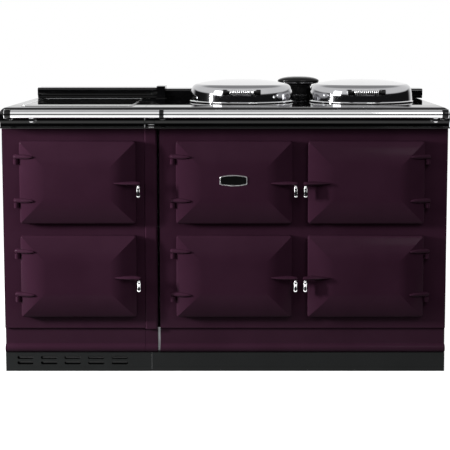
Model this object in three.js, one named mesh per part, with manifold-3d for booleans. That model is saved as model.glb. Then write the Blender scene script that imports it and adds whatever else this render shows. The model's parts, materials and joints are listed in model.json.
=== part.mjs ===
// Cast iron range cooker in two modules: a two-door module with a glass hob on the left, and a
// four-door module with two lidded hotplates on the right.
// Millimetres, +Z up, front facing -Y. Origin: middle of the bounding box, on the floor.
import * as THREE from 'three';
import { mergeVertices } from 'three/addons/utils/BufferGeometryUtils.js';
import Module from 'manifold-3d';

const wasm = await Module();
wasm.setup();

// ---------------------------------------------------------------- driving dimensions
const SEAT_GAP = 0.3;              // between pieces that touch
const RUNNING_GAP = 0.4;           // round a pin in its bore

// body
const PILASTER_W = 42;
const PILASTER_PROUD = 4;          // ahead of the front panels
const PILASTER_ROUND = 6;
const SHADOW_GAP_W = 8;            // open gap between the pilaster and the right module
const REAR_SPACE = 159.7;          // behind the ovens, for the flue chamber and the controls
const PLATE_T = 16;                // cast front plates
const SHEET_T = 4;                 // sides and back
const PLINTH_H = 64;
const PLINTH_SHEET = 3;
const PLINTH_RETURN = 25;
const PLINTH_SETBACK = 2;
const SKIRT_H = 82;
const SKIRT_T = 12;
const SKIRT_SETBACK = 8;
const BEAD_H = 29;
const BEAD_PROUD = 6;              // ahead of the front panels
const FRONT_PLATE_LIFT = 2;        // over the skirt
const PANEL_FIELD_INSET = 70;      // sheet's edge to its pressed-in field
const PANEL_FIELD_DEPTH = 1.5;
const PANEL_FIELD_ROUND = 18;

// top plates
const FASCIA_H = 69;               // from the fascia's lower edge to the cooking surface
const TOP_T = 12;
const TOP_OVERHANG = 38;           // ahead of the front panels
const FASCIA_WALL = 12;
const NOSE_R = 25;
const LIP_H = 5;
const LIP_FLARE = 2;
const LIP_EDGE_H = 2;
const FASCIA_UNDERCUT = 2.5;       // how far the fascia draws back over its lip
const UNDERCUT_FALL = 12;          // height over which it draws back
const UNDERCUT_RISE = 17;          // fascia's lower edge to where it is drawn back
const TOP_STRIP_W = 32;            // infill between the two top plates

// plinth slots, left plinth only
const SLOT_COLUMNS = 5;
const SLOT_W = 55;
const SLOT_H = 11;
const SLOT_PITCH_X = 79.2;
const SLOT_PITCH_Z = 18.4;
const SLOT_FIRST_X = 66;           // plinth end to the middle of the first slot
const SLOT_LOW_Z = 28;

// doors
const DOOR_W = 384;
const DOOR_H = 274;
const DOOR_EDGE_T = 22;
const DOOR_CROWN = 45;             // door back to the middle of the raised field
const DOOR_SEAL = 1.5;             // gap between door and front plate
const DOOR_CORNER_R = 11;
const DOOR_EDGE_ROUND = 3;
const DOOR_RIDGE_R = 1;            // least corner radius up the mitred ridges
const DOOR_SLOPE = 88;             // edge to the flat field
const LEFT_DOOR_INSET = 60;        // body's left end to the left doors
const LEFT_DOOR_MARGIN = 26;       // left doors to the pilaster
const RIGHT_DOOR_INSET = 55.7;     // shadow gap to the inner doors
const RIGHT_DOOR_MARGIN = 78.3;    // outer doors to the body's right end
const DOOR_PAIR_GAP = 52;
const DOOR_ROW_GAP = 40;
const DOOR_BOTTOM_MARGIN = 41.7;   // front plate's lower edge to the lower doors
const DOOR_TOP_MARGIN = 42.7;      // upper doors to the front plate's upper edge

// door furniture
const HINGE_OFFSET = 10.5;         // door edge to the hinge axis
const HINGE_STANDOFF = 20;         // panel plane to the hinge axis
const HINGE_UP = 86;               // above the door's middle
const HINGE_DOWN = 59;             // below the door's middle
const ARM_INBOARD = 48;
const ARM_H = 16;
const ARM_TIP_H = 10;
const ARM_RISE = 46;               // panel plane to the arm's face at its inner end
const ARM_SHOULDER = 12;           // door edge inboard to the arm's full height
const ARM_FALL = 8;                // drop from the inner end to that shoulder
const EYE_R = 10;
const KNUCKLE_R = 9;
const KNUCKLE_H = 17;
const PIN_R = 4;
const PIN_L = 13;
const PIN_END_PLAY = 1;            // under the end of a pin
const BAR_INBOARD = 71;
const BAR_OUTBOARD = 17;
const BAR_H = 14;
const BAR_TIP_H = 5;
const BAR_FRONT = 62;              // panel plane to the bar's face
const BAR_DEPTH = 16;
const BAR_SWELL = 25;              // door edge inboard to the bar's full height
const BAR_CHAMFER = 3;
const BAR_HEEL = 10;               // door edge inboard to the bar's foot
const BAR_TIP_RISE = 3;            // over the crown at the bar's inner end
const ROOT = 4;                    // how far furniture is rooted in the casting
const GRIP_R = 7;
const GRIP_L = 37;
const GRIP_COLLAR_R = 5;
const GRIP_COLLAR_H = 4;
const GRIP_WAIST_R = 6;
const GRIP_ROUND = 2;
const GRIP_OUTBOARD = 10;
const GRIP_STANDOFF = 54;

// ovens
const CAVITY_W = 340;
const CAVITY_H = 230;
const CAVITY_DEPTH = 478;
const OVEN_WALL = 6;
const CAVITY_CORNER_R = 14;
const RUNNER_W = 9;
const RUNNER_T = 5;
const RUNNER_SETBACK = 30;
const RUNNER_ROWS = 3;
const RUNNER_PITCH = 55;
const LINER_CLEARANCE = 6;
const LINER_DEPTH = 20;
const LINER_DISH = 8;
const LINER_RIM = 24;              // flat rim round the dish
const SHELF_BAR = 7;
const SHELF_WIRE_R = 2.5;
const SHELF_WIRES = 9;
const SHELF_WIRE_SIDES = 4;
const SHELF_BACK_GAP = 42;
const SHELF_PLAY = 2;              // each side of the shelf
const CONTROL_DEPTH = 70;
const CONTROL_PANEL_T = 12;
const KNOB_R = 26;
const KNOB_L = 26;
const KNOB_SKIRT_H = 4;
const KNOB_TAPER = 3;              // skirt's radius less the face's
const KNOB_ROUND = 3;
const KNOB_STEM_L = 7;
const KNOB_STOP_PLAY = 2;          // between the stem's end and its bore's end
const POINTER_W = 4;
const POINTER_PROUD = 2;

// towel rails
const RAIL_R = 13.5;
const RAIL_WALL = 3;
const RAIL_STANDOFF = 85.5;        // panel plane to the rail's axis
const RAIL_DROP = 19;              // cooking surface to the rail's axis
const END_BLOCK_R = 15.5;
const END_BLOCK_W = 20;
const MIDDLE_BLOCK_W = 13;
const RAIL_LEFT_INSET = 47;        // body's left end to the rail's end
const RAIL_RIGHT_INSET = 35;       // body's right end to the rail's end
const MIDDLE_BLOCK_X = 534;        // body's left end to the middle block
const SPIGOT_L = 10;
const RAIL_ARM_R = 7;
const RAIL_ARM_DROP = 12;
const ROSETTE_R = 11;
const ROSETTE_T = 5;

// glass hob
const GLASS_T = 6;
const GLASS_INSET_X = 68;          // body's left end to the glass
const GLASS_RIGHT_MARGIN = 51;     // glass to the left top plate's inner end
const GLASS_SETBACK = 30;
const GLASS_REAR_MARGIN = 50;      // glass to the vent box
const GLASS_CORNER_R = 10;
const GLASS_PROUD = 1.5;
const TRIM_W = 8;
const TRIM_H = 2;
const TRIM_LEDGE = 6;
const TRAY_T = 3;
const TRAY_DEPTH = 45;
const ELEMENT_RADII = [95, 75];
const ELEMENT_H = 22;

// hotplates and lids
const LID_MIDDLE_X = 268;          // between the two hotplates
const LID_PITCH = 424;
const HOTPLATE_R = 172;
const HOTPLATE_T = 40;
const HOTPLATE_PROUD = 1;
const HOTPLATE_FLANGE = 12;
const HOTPLATE_PLAY = 3;
const HOTPLATE_CHAMFER = 2;
const HOTPLATE_FLANGE_T = 8;
const LID_R = 186;
const LID_DOME_R = 160;
const LID_RISE = 2;                // cooking surface to the lid's rim
const LID_WALL_H = 62;
const LID_WALL_CURVE = 3.6;        // power of the curve by which the wall leans in
const LID_DOME_H = 15;
const LID_LINER_RISE = 10;
const LID_RIM_W = 6;
const LID_RIM_H = 5;
const LID_BAND_H = 16;             // upright band over the rim
const LID_BAND_SETBACK = 5;
const LID_ARM_T = 15;
const LID_HINGE_BACK = 20;         // rim to the hinge axis
const LID_HINGE_AHEAD = 25;        // hinge axis to the upstand
const LID_HINGE_Z = 25;            // cooking surface to the hinge axis
const LID_BARREL_R = 9;
const LID_BARREL_L = 44;
const LID_LUG_T = 15;
const LID_PIN_L = 12;
const LID_HANDLE_W = 129;
const LID_POST_W = 14;
const HANDLE_SEAT = 0.45;          // between a post's root and the lid
const LID_POST_H = 20;
const LID_POST_ROOT_H = 16;        // where the post meets the lid
const LID_POST_ROOT = 29;          // lid's rim inward to the post's root
const LID_ROD_R = 5.5;
const LID_ROD_OUT = 22;            // rim to the rod's axis
const LID_ROD_Z = 39;              // rim to the rod's axis
const COIL_TURNS = 13;
const COIL_PITCH = 6.5;
const COIL_MEAN_R = 8;
const COIL_WIRE_R = 1.9;
const COIL_BEND = 3;               // length of the bend into each straight end
const COIL_END_L = 3.8;
const COIL_STEPS = 8;              // per turn
const COIL_SIDES = 5;

// back of the hob
const VENT_D = 90;                 // vent box and upstands, front to back
const VENT_H = 40;
const VENT_INSET = 27;
const VENT_NOSE_R = 8;
const VENT_WALL = 5;
const VENT_SLOT_Z = 10;
const VENT_SLOT_H = 5;
const VENT_SLOT_INSET = 20;        // vent's end to the slot's end
const VENT_FRONT_T = 15;
const UPSTAND_H = 36;
const JOINT_BLOCK_H = 46;
const JOINT_BLOCK_FRONT = 12;      // ahead of the upstands
const FLUE_MIDDLE_X = 270;
const FLUE_BACK = 56;              // flue's middle to the back
const FLUE_NECK_W = 92;
const FLUE_NECK_D = 60;
const FLUE_NECK_H = 58;
const FLUE_WALL = 5;
const FLUE_COLLAR_H = 7;
const FLUE_COLLAR_PROUD = 4;
const FLUE_CAP_ROUND = 4;
const FLUE_CAP_W = 155;
const FLUE_CAP_D = 104;
const FLUE_CAP_EDGE = 10;
const FLUE_CAP_DOME = 13;
const FLUE_BOX_W = 130;
const FLUE_BOX_D = 84;
const FLUE_BOX_H = 560;

// base
const FOOT_R = 20;
const BASE_PLATE_T = 8;
const FEET_COLUMNS = 4;
const FOOT_INSET = 60;

// ---------------------------------------------------------------- places worked out from them
const leftModuleW = LEFT_DOOR_INSET + DOOR_W + LEFT_DOOR_MARGIN;
const rightModuleW = RIGHT_DOOR_INSET + 2 * DOOR_W + DOOR_PAIR_GAP + RIGHT_DOOR_MARGIN;
const bodyW = leftModuleW + PILASTER_W + SHADOW_GAP_W + rightModuleW;
const bodyDepth = PLATE_T + SEAT_GAP + CAVITY_DEPTH + OVEN_WALL + REAR_SPACE;
const leftX = -bodyW / 2;
const rightX = bodyW / 2;
const pilasterX0 = leftX + leftModuleW;
const pilasterX1 = pilasterX0 + PILASTER_W;
const pilasterMid = (pilasterX0 + pilasterX1) / 2;
const rightModuleX = pilasterX1 + SHADOW_GAP_W;
const railReach = RAIL_STANDOFF + Math.max(END_BLOCK_R, RAIL_R);
const panelY = -(bodyDepth - railReach) / 2;
const ahead = (distance) => panelY - distance;
const behind = (distance) => panelY + distance;
const backY = behind(bodyDepth);
const carcassZ = PLINTH_H + SEAT_GAP;
const skirtTopZ = carcassZ + SKIRT_H;
const skirtBackY = behind(SKIRT_SETBACK + SKIRT_T);
const frontPlateZ0 = skirtTopZ + FRONT_PLATE_LIFT;
const lowerDoorZ = frontPlateZ0 + DOOR_BOTTOM_MARGIN + DOOR_H / 2;
const upperDoorZ = lowerDoorZ + DOOR_H + DOOR_ROW_GAP;
const frontPlateZ1 = upperDoorZ + DOOR_H / 2 + DOOR_TOP_MARGIN;
const fasciaZ = frontPlateZ1 + SEAT_GAP;
const hobZ = fasciaZ + FASCIA_H;
const topSeatZ = hobZ + SEAT_GAP;
const railY = ahead(RAIL_STANDOFF);
const railZ = hobZ - RAIL_DROP;
const ventSetback = bodyDepth - VENT_D;
const flueY = backY - FLUE_BACK;
const lidY = behind(ventSetback - LID_HINGE_AHEAD - LID_HINGE_BACK - LID_R);
const lidCentres = [
  new THREE.Vector2(LID_MIDDLE_X - LID_PITCH / 2, lidY),
  new THREE.Vector2(LID_MIDDLE_X + LID_PITCH / 2, lidY),
];

// ---------------------------------------------------------------- materials
function finish(color, roughness, metalness) {
  return new THREE.MeshStandardMaterial({ color, roughness, metalness });
}
const aubergine = finish(0x3a2030, 0.15, 0);
const blackEnamel = finish(0x0c0c0e, 0.12, 0);
const chrome = finish(0xd8d8da, 0.08, 1);
const castIron = finish(0x2b2c2e, 0.6, 0.7);
const steelSheet = finish(0x8b8e90, 0.45, 0.9);
const darkSheet = finish(0x1c1d1e, 0.5, 0.3);
const glassBlack = finish(0x050506, 0.04, 0);
const liningGrey = finish(0x6d6f70, 0.55, 0.6);

// ---------------------------------------------------------------- joining and cutting
const WELD = 1e-4;

function welded(geometry) {
  const bare = geometry.clone();
  bare.deleteAttribute('normal');
  bare.deleteAttribute('uv');
  const merged = mergeVertices(bare, WELD);
  const kept = [];
  for (let i = 0; i < merged.index.count; i += 3) {
    const [a, b, c] = [0, 1, 2].map((k) => merged.index.getX(i + k));
    if (a !== b && b !== c && c !== a) kept.push(a, b, c);
  }
  merged.setIndex(kept);
  if (volumeOf(merged) < 0) merged.setIndex(kept.reverse());
  return merged;
}

function volumeOf(geometry) {
  const corner = [new THREE.Vector3(), new THREE.Vector3(), new THREE.Vector3()];
  let volume = 0;
  for (let i = 0; i < geometry.index.count; i += 3) {
    corner.forEach((v, k) => {
      v.fromBufferAttribute(geometry.attributes.position, geometry.index.getX(i + k));
    });
    volume += corner[0].dot(corner[1].clone().cross(corner[2])) / 6;
  }
  return volume;
}

function toSolid(geometry) {
  const merged = welded(geometry);
  return new wasm.Manifold(new wasm.Mesh({
    numProp: 3,
    vertProperties: Float32Array.from(merged.attributes.position.array),
    triVerts: Uint32Array.from(merged.index.array),
  }));
}

function toGeometry(solid) {
  const mesh = solid.getMesh();
  const geometry = new THREE.BufferGeometry();
  geometry.setAttribute('position', new THREE.BufferAttribute(Float32Array.from(mesh.vertProperties), 3));
  geometry.setIndex(Array.from(mesh.triVerts));
  return geometry;
}

const join = (...pieces) => toGeometry(pieces.map(toSolid).reduce((sum, piece) => sum.add(piece)));
const common = (...pieces) => toGeometry(pieces.map(toSolid).reduce((sum, piece) => sum.intersect(piece)));
const cut = (body, ...tools) => toGeometry(
  tools.map(toSolid).reduce((rest, tool) => rest.subtract(tool), toSolid(body)),
);

// ---------------------------------------------------------------- plain forms
const OVERCUT = 1;                 // how far a cutting tool runs past a face
const SMALL_SIDES = 8;             // facets round pins and bores
const MIDDLE_SIDES = 12;           // round knuckles, lugs and feet
const GRIP_SIDES = 16;             // round grips and rail blocks
const RAIL_SIDES = 24;
const LARGE_SIDES = 36;            // round hotplates and lids
const CORNER_STEPS = 2;            // facets in a rounded corner
const PILASTER_STEPS = 4;
const NOSE_STEPS = 5;              // facets in the top plate's nose
const BEAD_STEPS = 10;

function slab(x0, x1, y0, y1, z0, z1) {
  const geometry = new THREE.BoxGeometry(x1 - x0, y1 - y0, z1 - z0);
  geometry.translate((x0 + x1) / 2, (y0 + y1) / 2, (z0 + z1) / 2);
  return geometry;
}

function roundedRect(width, height, radius, cx = 0, cy = 0) {
  const [x0, x1] = [cx - width / 2, cx + width / 2];
  const [y0, y1] = [cy - height / 2, cy + height / 2];
  const shape = new THREE.Shape();
  shape.moveTo(x0 + radius, y0);
  shape.absarc(x1 - radius, y0 + radius, radius, -Math.PI / 2, 0, false);
  shape.absarc(x1 - radius, y1 - radius, radius, 0, Math.PI / 2, false);
  shape.absarc(x0 + radius, y1 - radius, radius, Math.PI / 2, Math.PI, false);
  shape.absarc(x0 + radius, y0 + radius, radius, Math.PI, Math.PI * 1.5, false);
  return shape;
}

function outline(points) {
  return new THREE.Shape(points.map(([x, y]) => new THREE.Vector2(x, y)));
}

function prism(shape, depth, curveSegments) {
  return new THREE.ExtrudeGeometry(shape, { depth, curveSegments, bevelEnabled: false });
}

// A plan outline (X, Y) raised from z0 to z1.
function raised(shape, z0, z1, curveSegments = CORNER_STEPS) {
  return prism(shape, z1 - z0, curveSegments).translate(0, 0, z0);
}

// A front outline (X, Z) run from y0 back to y1.
function runBack(shape, y0, y1, curveSegments = CORNER_STEPS) {
  return prism(shape, y1 - y0, curveSegments).rotateX(Math.PI / 2).translate(0, y1, 0);
}

// An end outline (Y, Z) run from x0 across to x1.
function runAcross(shape, x0, x1, curveSegments = NOSE_STEPS) {
  const turn = new THREE.Matrix4().set(0, 0, 1, 0, 1, 0, 0, 0, 0, 1, 0, 0, 0, 0, 0, 1);
  return prism(shape, x1 - x0, curveSegments).applyMatrix4(turn).translate(x0, 0, 0);
}

function post(radius, x, y, z0, z1, sides = MIDDLE_SIDES) {
  const geometry = new THREE.CylinderGeometry(radius, radius, z1 - z0, sides);
  return geometry.rotateX(Math.PI / 2).translate(x, y, (z0 + z1) / 2);
}

function crossRod(radius, x0, x1, y, z, sides = MIDDLE_SIDES) {
  const geometry = new THREE.CylinderGeometry(radius, radius, x1 - x0, sides);
  return geometry.rotateZ(Math.PI / 2).translate((x0 + x1) / 2, y, z);
}

function backRod(radius, x, y0, y1, z, sides = MIDDLE_SIDES) {
  const geometry = new THREE.CylinderGeometry(radius, radius, y1 - y0, sides);
  return geometry.translate(x, (y0 + y1) / 2, z);
}

// A profile of [radius, height] points turned about the vertical.
function turned(profile, sides = LARGE_SIDES) {
  const points = profile.map(([radius, height]) => new THREE.Vector2(radius, height));
  return new THREE.LatheGeometry(points, sides).rotateX(Math.PI / 2);
}

const cooker = new THREE.Group();

function add(name, geometry, material) {
  const tidy = welded(geometry);
  tidy.computeVertexNormals();
  const mesh = new THREE.Mesh(tidy, material);
  mesh.name = name;
  cooker.add(mesh);
}

// ---------------------------------------------------------------- carcass
function buildBase() {
  const [x0, x1] = [leftX + SHEET_T + SEAT_GAP, rightX - SHEET_T - SEAT_GAP];
  const [y0, y1] = [skirtBackY + SEAT_GAP, backY - SHEET_T - SEAT_GAP];
  const plate = slab(x0, x1, y0, y1, carcassZ, carcassZ + BASE_PLATE_T);
  const upstand = slab(x0, x1, y0, y0 + BASE_PLATE_T, carcassZ, skirtTopZ);
  const feet = [];
  const footFront = y0 + FOOT_INSET;
  const footBack = y1 - FOOT_INSET;
  for (let column = 0; column < FEET_COLUMNS; column += 1) {
    const span = x1 - x0 - 2 * FOOT_INSET;
    const x = x0 + FOOT_INSET + (span * column) / (FEET_COLUMNS - 1);
    for (const y of [footFront, footBack]) feet.push(post(FOOT_R, x, y, 0, carcassZ + OVERCUT));
  }
  add('base_frame', join(plate, upstand, ...feet), steelSheet);
}

function buildCasing() {
  const [z0, z1] = [carcassZ, fasciaZ - SEAT_GAP];
  const y0 = Math.max(skirtBackY, behind(PLATE_T)) + SEAT_GAP;
  const foldY = backY - SHEET_T - SEAT_GAP;
  for (const [name, x, inward] of [['left_side_panel', leftX, 1], ['right_side_panel', rightX, -1]]) {
    const inner = x + inward * SHEET_T;
    const [width, height] = [backY - y0 - 2 * PANEL_FIELD_INSET, z1 - z0 - 2 * PANEL_FIELD_INSET];
    const field = roundedRect(width, height, PANEL_FIELD_ROUND, (y0 + backY) / 2, (z0 + z1) / 2);
    const [face, floor] = [x - inward * OVERCUT, x + inward * PANEL_FIELD_DEPTH];
    const sheet = slab(Math.min(x, inner), Math.max(x, inner), y0, backY, z0, z1);
    const pressing = runAcross(field, Math.min(face, floor), Math.max(face, floor), CORNER_STEPS);
    add(name, cut(sheet, pressing), steelSheet);
  }
  const [x0, x1] = [leftX + SHEET_T + SEAT_GAP, rightX - SHEET_T - SEAT_GAP];
  const sheet = slab(x0, x1, foldY + SEAT_GAP, backY, z0, z1);
  const half = (x1 - x0) / 2;
  const pressings = [x0 + half / 2, x1 - half / 2].map((x) => {
    const field = roundedRect(half - 2 * PANEL_FIELD_INSET, z1 - z0 - 2 * PANEL_FIELD_INSET,
      PANEL_FIELD_ROUND, x, (z0 + z1) / 2);
    return runBack(field, backY - PANEL_FIELD_DEPTH, backY + OVERCUT);
  });
  add('back_panel', cut(sheet, ...pressings), steelSheet);
}

function plinth(x0, x1, slots) {
  const [y0, y1] = [behind(PLINTH_SETBACK), behind(PLINTH_SETBACK + PLINTH_RETURN)];
  const inner = slab(x0 - OVERCUT, x1 + OVERCUT, y0 + PLINTH_SHEET, y1 + OVERCUT,
    PLINTH_SHEET, PLINTH_H - PLINTH_SHEET);
  return cut(slab(x0, x1, y0, y1, 0, PLINTH_H), inner, ...slots);
}

function plinthSlots() {
  const slots = [];
  for (let column = 0; column < SLOT_COLUMNS; column += 1) {
    for (const row of [0, 1]) {
      const x = leftX + SLOT_FIRST_X + column * SLOT_PITCH_X;
      const z = SLOT_LOW_Z + row * SLOT_PITCH_Z;
      const shape = roundedRect(SLOT_W, SLOT_H, SLOT_H / 2 - WELD, x, z);
      const y = behind(PLINTH_SETBACK);
      slots.push(runBack(shape, y - OVERCUT, y + PLINTH_SHEET + OVERCUT));
    }
  }
  return slots;
}

function skirt(x0, x1) {
  const z0 = carcassZ;
  const faceY = behind(SKIRT_SETBACK);
  const shape = new THREE.Shape();
  shape.moveTo(skirtBackY, z0);
  shape.lineTo(faceY, z0);
  shape.absellipse(faceY, z0 + BEAD_H / 2, SKIRT_SETBACK + BEAD_PROUD, BEAD_H / 2,
    Math.PI * 1.5, Math.PI / 2, true, 0);
  shape.lineTo(faceY, z0 + SKIRT_H);
  shape.lineTo(skirtBackY, z0 + SKIRT_H);
  return runAcross(shape, x0, x1, BEAD_STEPS);
}

function buildLowerTrim() {
  const [leftEnd, rightStart] = [pilasterMid - SEAT_GAP / 2, pilasterMid + SEAT_GAP / 2];
  add('left_plinth', plinth(leftX, leftEnd, plinthSlots()), darkSheet);
  add('right_plinth', plinth(rightStart, rightX, []), darkSheet);
  add('left_skirt', skirt(leftX, pilasterX0), aubergine);
  add('right_skirt', skirt(rightModuleX, rightX), aubergine);
}

// ---------------------------------------------------------------- doors and what they close
// hinge is the side that the door turns on: -1 left, 1 right.
const leftDoorX = leftX + LEFT_DOOR_INSET + DOOR_W / 2;
const innerDoorX = rightModuleX + RIGHT_DOOR_INSET + DOOR_W / 2;
const outerDoorX = innerDoorX + DOOR_W + DOOR_PAIR_GAP;
const doors = [
  { name: 'warming_oven', x: leftDoorX, z: upperDoorZ, hinge: -1 },
  { name: 'slow_oven', x: leftDoorX, z: lowerDoorZ, hinge: -1 },
  { name: 'control', x: innerDoorX, z: upperDoorZ, hinge: -1 },
  { name: 'simmering_oven', x: innerDoorX, z: lowerDoorZ, hinge: -1 },
  { name: 'roasting_oven', x: outerDoorX, z: upperDoorZ, hinge: 1 },
  { name: 'baking_oven', x: outerDoorX, z: lowerDoorZ, hinge: 1 },
];
const SHELVED = ['roasting_oven', 'warming_oven'];
const [leftDoors, rightDoors] = [doors.slice(0, 2), doors.slice(2)];
const armHeights = [HINGE_UP, -HINGE_DOWN];

const hingeX = (door) => door.x + door.hinge * (DOOR_W / 2 + HINGE_OFFSET);
const hingeY = ahead(HINGE_STANDOFF);

function knuckle(door, height) {
  const x = hingeX(door);
  const top = door.z + height - ARM_H / 2 - SEAT_GAP;
  const barrel = post(KNUCKLE_R, x, hingeY, top - KNUCKLE_H, top);
  const neck = slab(x - KNUCKLE_R, x + KNUCKLE_R, hingeY, panelY + SEAT_GAP, top - KNUCKLE_H, top);
  const bore = post(PIN_R + RUNNING_GAP, x, hingeY, top - PIN_L - PIN_END_PLAY, top + OVERCUT, SMALL_SIDES);
  return { solid: join(barrel, neck), bore };
}

function frontPlate(x0, x1, plateDoors) {
  const mouths = plateDoors.map((door) => {
    const shape = roundedRect(CAVITY_W, CAVITY_H, CAVITY_CORNER_R, door.x, door.z);
    return runBack(shape, panelY - OVERCUT, behind(PLATE_T) + OVERCUT);
  });
  const knuckles = plateDoors.flatMap((door) => armHeights.map((height) => knuckle(door, height)));
  const plate = cut(slab(x0, x1, panelY, behind(PLATE_T), frontPlateZ0, frontPlateZ1), ...mouths);
  const whole = join(plate, ...knuckles.map((one) => one.solid));
  return cut(whole, ...knuckles.map((one) => one.bore));
}

function ringPoints(width, height, radius, y) {
  const points = [];
  const corners = [[1, 1, 0], [-1, 1, 1], [-1, -1, 2], [1, -1, 3]];
  const steps = CORNER_STEPS;
  for (const [sx, sz, quarter] of corners) {
    for (let step = 0; step <= steps; step += 1) {
      const angle = (quarter + step / steps) * (Math.PI / 2);
      const x = sx * (width / 2 - radius) + radius * Math.cos(angle);
      const z = sz * (height / 2 - radius) + radius * Math.sin(angle);
      points.push([x, y, z]);
    }
  }
  return points;
}

// Rings of equal point counts skinned into one closed body, capped at both ends.
function skinned(rings) {
  const count = rings[0].length;
  const positions = rings.flat();
  const index = [];
  for (let ring = 0; ring + 1 < rings.length; ring += 1) {
    for (let i = 0; i < count; i += 1) {
      const a = ring * count + i;
      const b = ring * count + ((i + 1) % count);
      index.push(a, a + count, b, b, a + count, b + count);
    }
  }
  for (const [base, flip] of [[0, false], [(rings.length - 1) * count, true]]) {
    const middle = rings[base / count].reduce((sum, p) => sum.map((v, k) => v + p[k] / count), [0, 0, 0]);
    const centre = positions.push(middle) - 1;
    for (let i = 0; i < count; i += 1) {
      const [a, b] = [base + i, base + ((i + 1) % count)];
      index.push(centre, flip ? b : a, flip ? a : b);
    }
  }
  const geometry = new THREE.BufferGeometry();
  geometry.setAttribute('position', new THREE.Float32BufferAttribute(positions.flat(), 3));
  geometry.setIndex(index);
  return geometry;
}

// Height of the crowned door over the panel plane, at an inset from its edge.
function crownAt(inset) {
  const run = Math.min(inset / DOOR_SLOPE, 1);
  return DOOR_EDGE_T + (DOOR_CROWN - DOOR_EDGE_T) * (1 - (1 - run) ** 2);
}

function crownedDoor() {
  const corner = DOOR_EDGE_ROUND * (1 - Math.SQRT1_2);
  const edge = [
    [0, DOOR_SEAL],
    [0, DOOR_EDGE_T - DOOR_EDGE_ROUND],
    [corner, DOOR_EDGE_T - corner],
  ];
  const slopes = [0.06, 0.24, 0.46, 0.72, 1].map((run) => {
    const inset = run * DOOR_SLOPE;
    return [inset, crownAt(inset)];
  });
  return skinned([...edge, ...slopes].map(([inset, height]) => {
    const radius = Math.max(DOOR_CORNER_R - inset, DOOR_RIDGE_R);
    return ringPoints(DOOR_W - 2 * inset, DOOR_H - 2 * inset, radius, -height);
  }));
}

function handleBar(hinge) {
  const edge = -hinge * (DOOR_W / 2);
  const out = -hinge;
  const tip = edge - out * BAR_INBOARD;
  const end = edge + out * BAR_OUTBOARD;
  const swell = edge - out * BAR_SWELL;
  const front = outline([
    [tip, BAR_TIP_H / 2],
    [swell, BAR_H / 2],
    [end - out * BAR_CHAMFER, BAR_H / 2],
    [end, BAR_H / 2 - BAR_CHAMFER],
    [end, BAR_CHAMFER - BAR_H / 2],
    [end - out * BAR_CHAMFER, -BAR_H / 2],
    [swell, -BAR_H / 2],
    [tip, -BAR_TIP_H / 2],
  ]);
  const plan = outline([
    [tip, ROOT - crownAt(BAR_INBOARD)],
    [tip, -DOOR_CROWN - BAR_TIP_RISE],
    [swell, -BAR_FRONT],
    [end, -BAR_FRONT],
    [end, BAR_DEPTH - BAR_FRONT],
    [edge, BAR_DEPTH - BAR_FRONT],
    [edge - out * BAR_HEEL, ROOT - DOOR_EDGE_T],
  ]);
  return common(runBack(front, -BAR_FRONT - OVERCUT, 0), raised(plan, -BAR_H, BAR_H));
}

function hingeArm(hinge, height) {
  const edge = hinge * (DOOR_W / 2);
  const axis = edge + hinge * HINGE_OFFSET;
  const tip = edge - hinge * ARM_INBOARD;
  const front = outline([
    [axis, height + ARM_H / 2],
    [axis, height - ARM_H / 2],
    [edge, height - ARM_H / 2],
    [tip, height - ARM_TIP_H / 2],
    [tip, height + ARM_TIP_H / 2],
    [edge, height + ARM_H / 2],
  ]);
  const plan = outline([
    [axis, -HINGE_STANDOFF - EYE_R],
    [axis, -HINGE_STANDOFF + EYE_R],
    [edge - hinge * ROOT, ROOT - crownAt(0)],
    [tip, ROOT - crownAt(ARM_INBOARD)],
    [tip, -ARM_RISE],
    [edge - hinge * ARM_SHOULDER, ARM_FALL - ARM_RISE],
  ]);
  const band = common(runBack(front, -ARM_RISE - OVERCUT, 0), raised(plan, height - ARM_H, height + ARM_H));
  const eye = post(EYE_R, axis, -HINGE_STANDOFF, height - ARM_H / 2, height + ARM_H / 2);
  const underside = height - ARM_H / 2;
  const pin = post(PIN_R, axis, -HINGE_STANDOFF, underside - PIN_L, underside + OVERCUT, SMALL_SIDES);
  return join(band, eye, pin);
}

function doorLiner() {
  const width = CAVITY_W - 2 * LINER_CLEARANCE;
  const height = CAVITY_H - 2 * LINER_CLEARANCE;
  const [y0, y1] = [-DOOR_SEAL + SEAT_GAP, LINER_DEPTH];
  const block = runBack(roundedRect(width, height, CAVITY_CORNER_R), y0, y1);
  const dish = roundedRect(width - 2 * LINER_RIM, height - 2 * LINER_RIM, CAVITY_CORNER_R);
  return cut(block, runBack(dish, y1 - LINER_DISH, y1 + OVERCUT));
}

function doorGrip() {
  const waistZ = -(GRIP_COLLAR_H + GRIP_L) / 2;
  const profile = [
    [0, 0],
    [GRIP_COLLAR_R, 0],
    [GRIP_COLLAR_R, -GRIP_COLLAR_H],
    [GRIP_R - GRIP_ROUND, -GRIP_COLLAR_H],
    [GRIP_R, -GRIP_COLLAR_H - GRIP_ROUND],
    [GRIP_WAIST_R, waistZ],
    [GRIP_R, -GRIP_L + GRIP_ROUND],
    [GRIP_R - GRIP_ROUND, -GRIP_L],
    [0, -GRIP_L],
  ];
  return turned(profile, GRIP_SIDES);
}

function buildDoors() {
  for (const door of doors) {
    const place = (geometry) => geometry.translate(door.x, panelY, door.z);
    const arms = armHeights.map((height) => hingeArm(door.hinge, height));
    add(`${door.name}_door`, place(join(crownedDoor(), handleBar(door.hinge), ...arms)), aubergine);
    if (door.name !== 'control') add(`${door.name}_door_liner`, place(doorLiner()), liningGrey);
    const gripX = -door.hinge * (DOOR_W / 2 + GRIP_OUTBOARD);
    const grip = doorGrip().translate(gripX, -GRIP_STANDOFF, -BAR_H / 2 - SEAT_GAP);
    add(`${door.name}_door_grip`, place(grip), chrome);
  }
}

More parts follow.
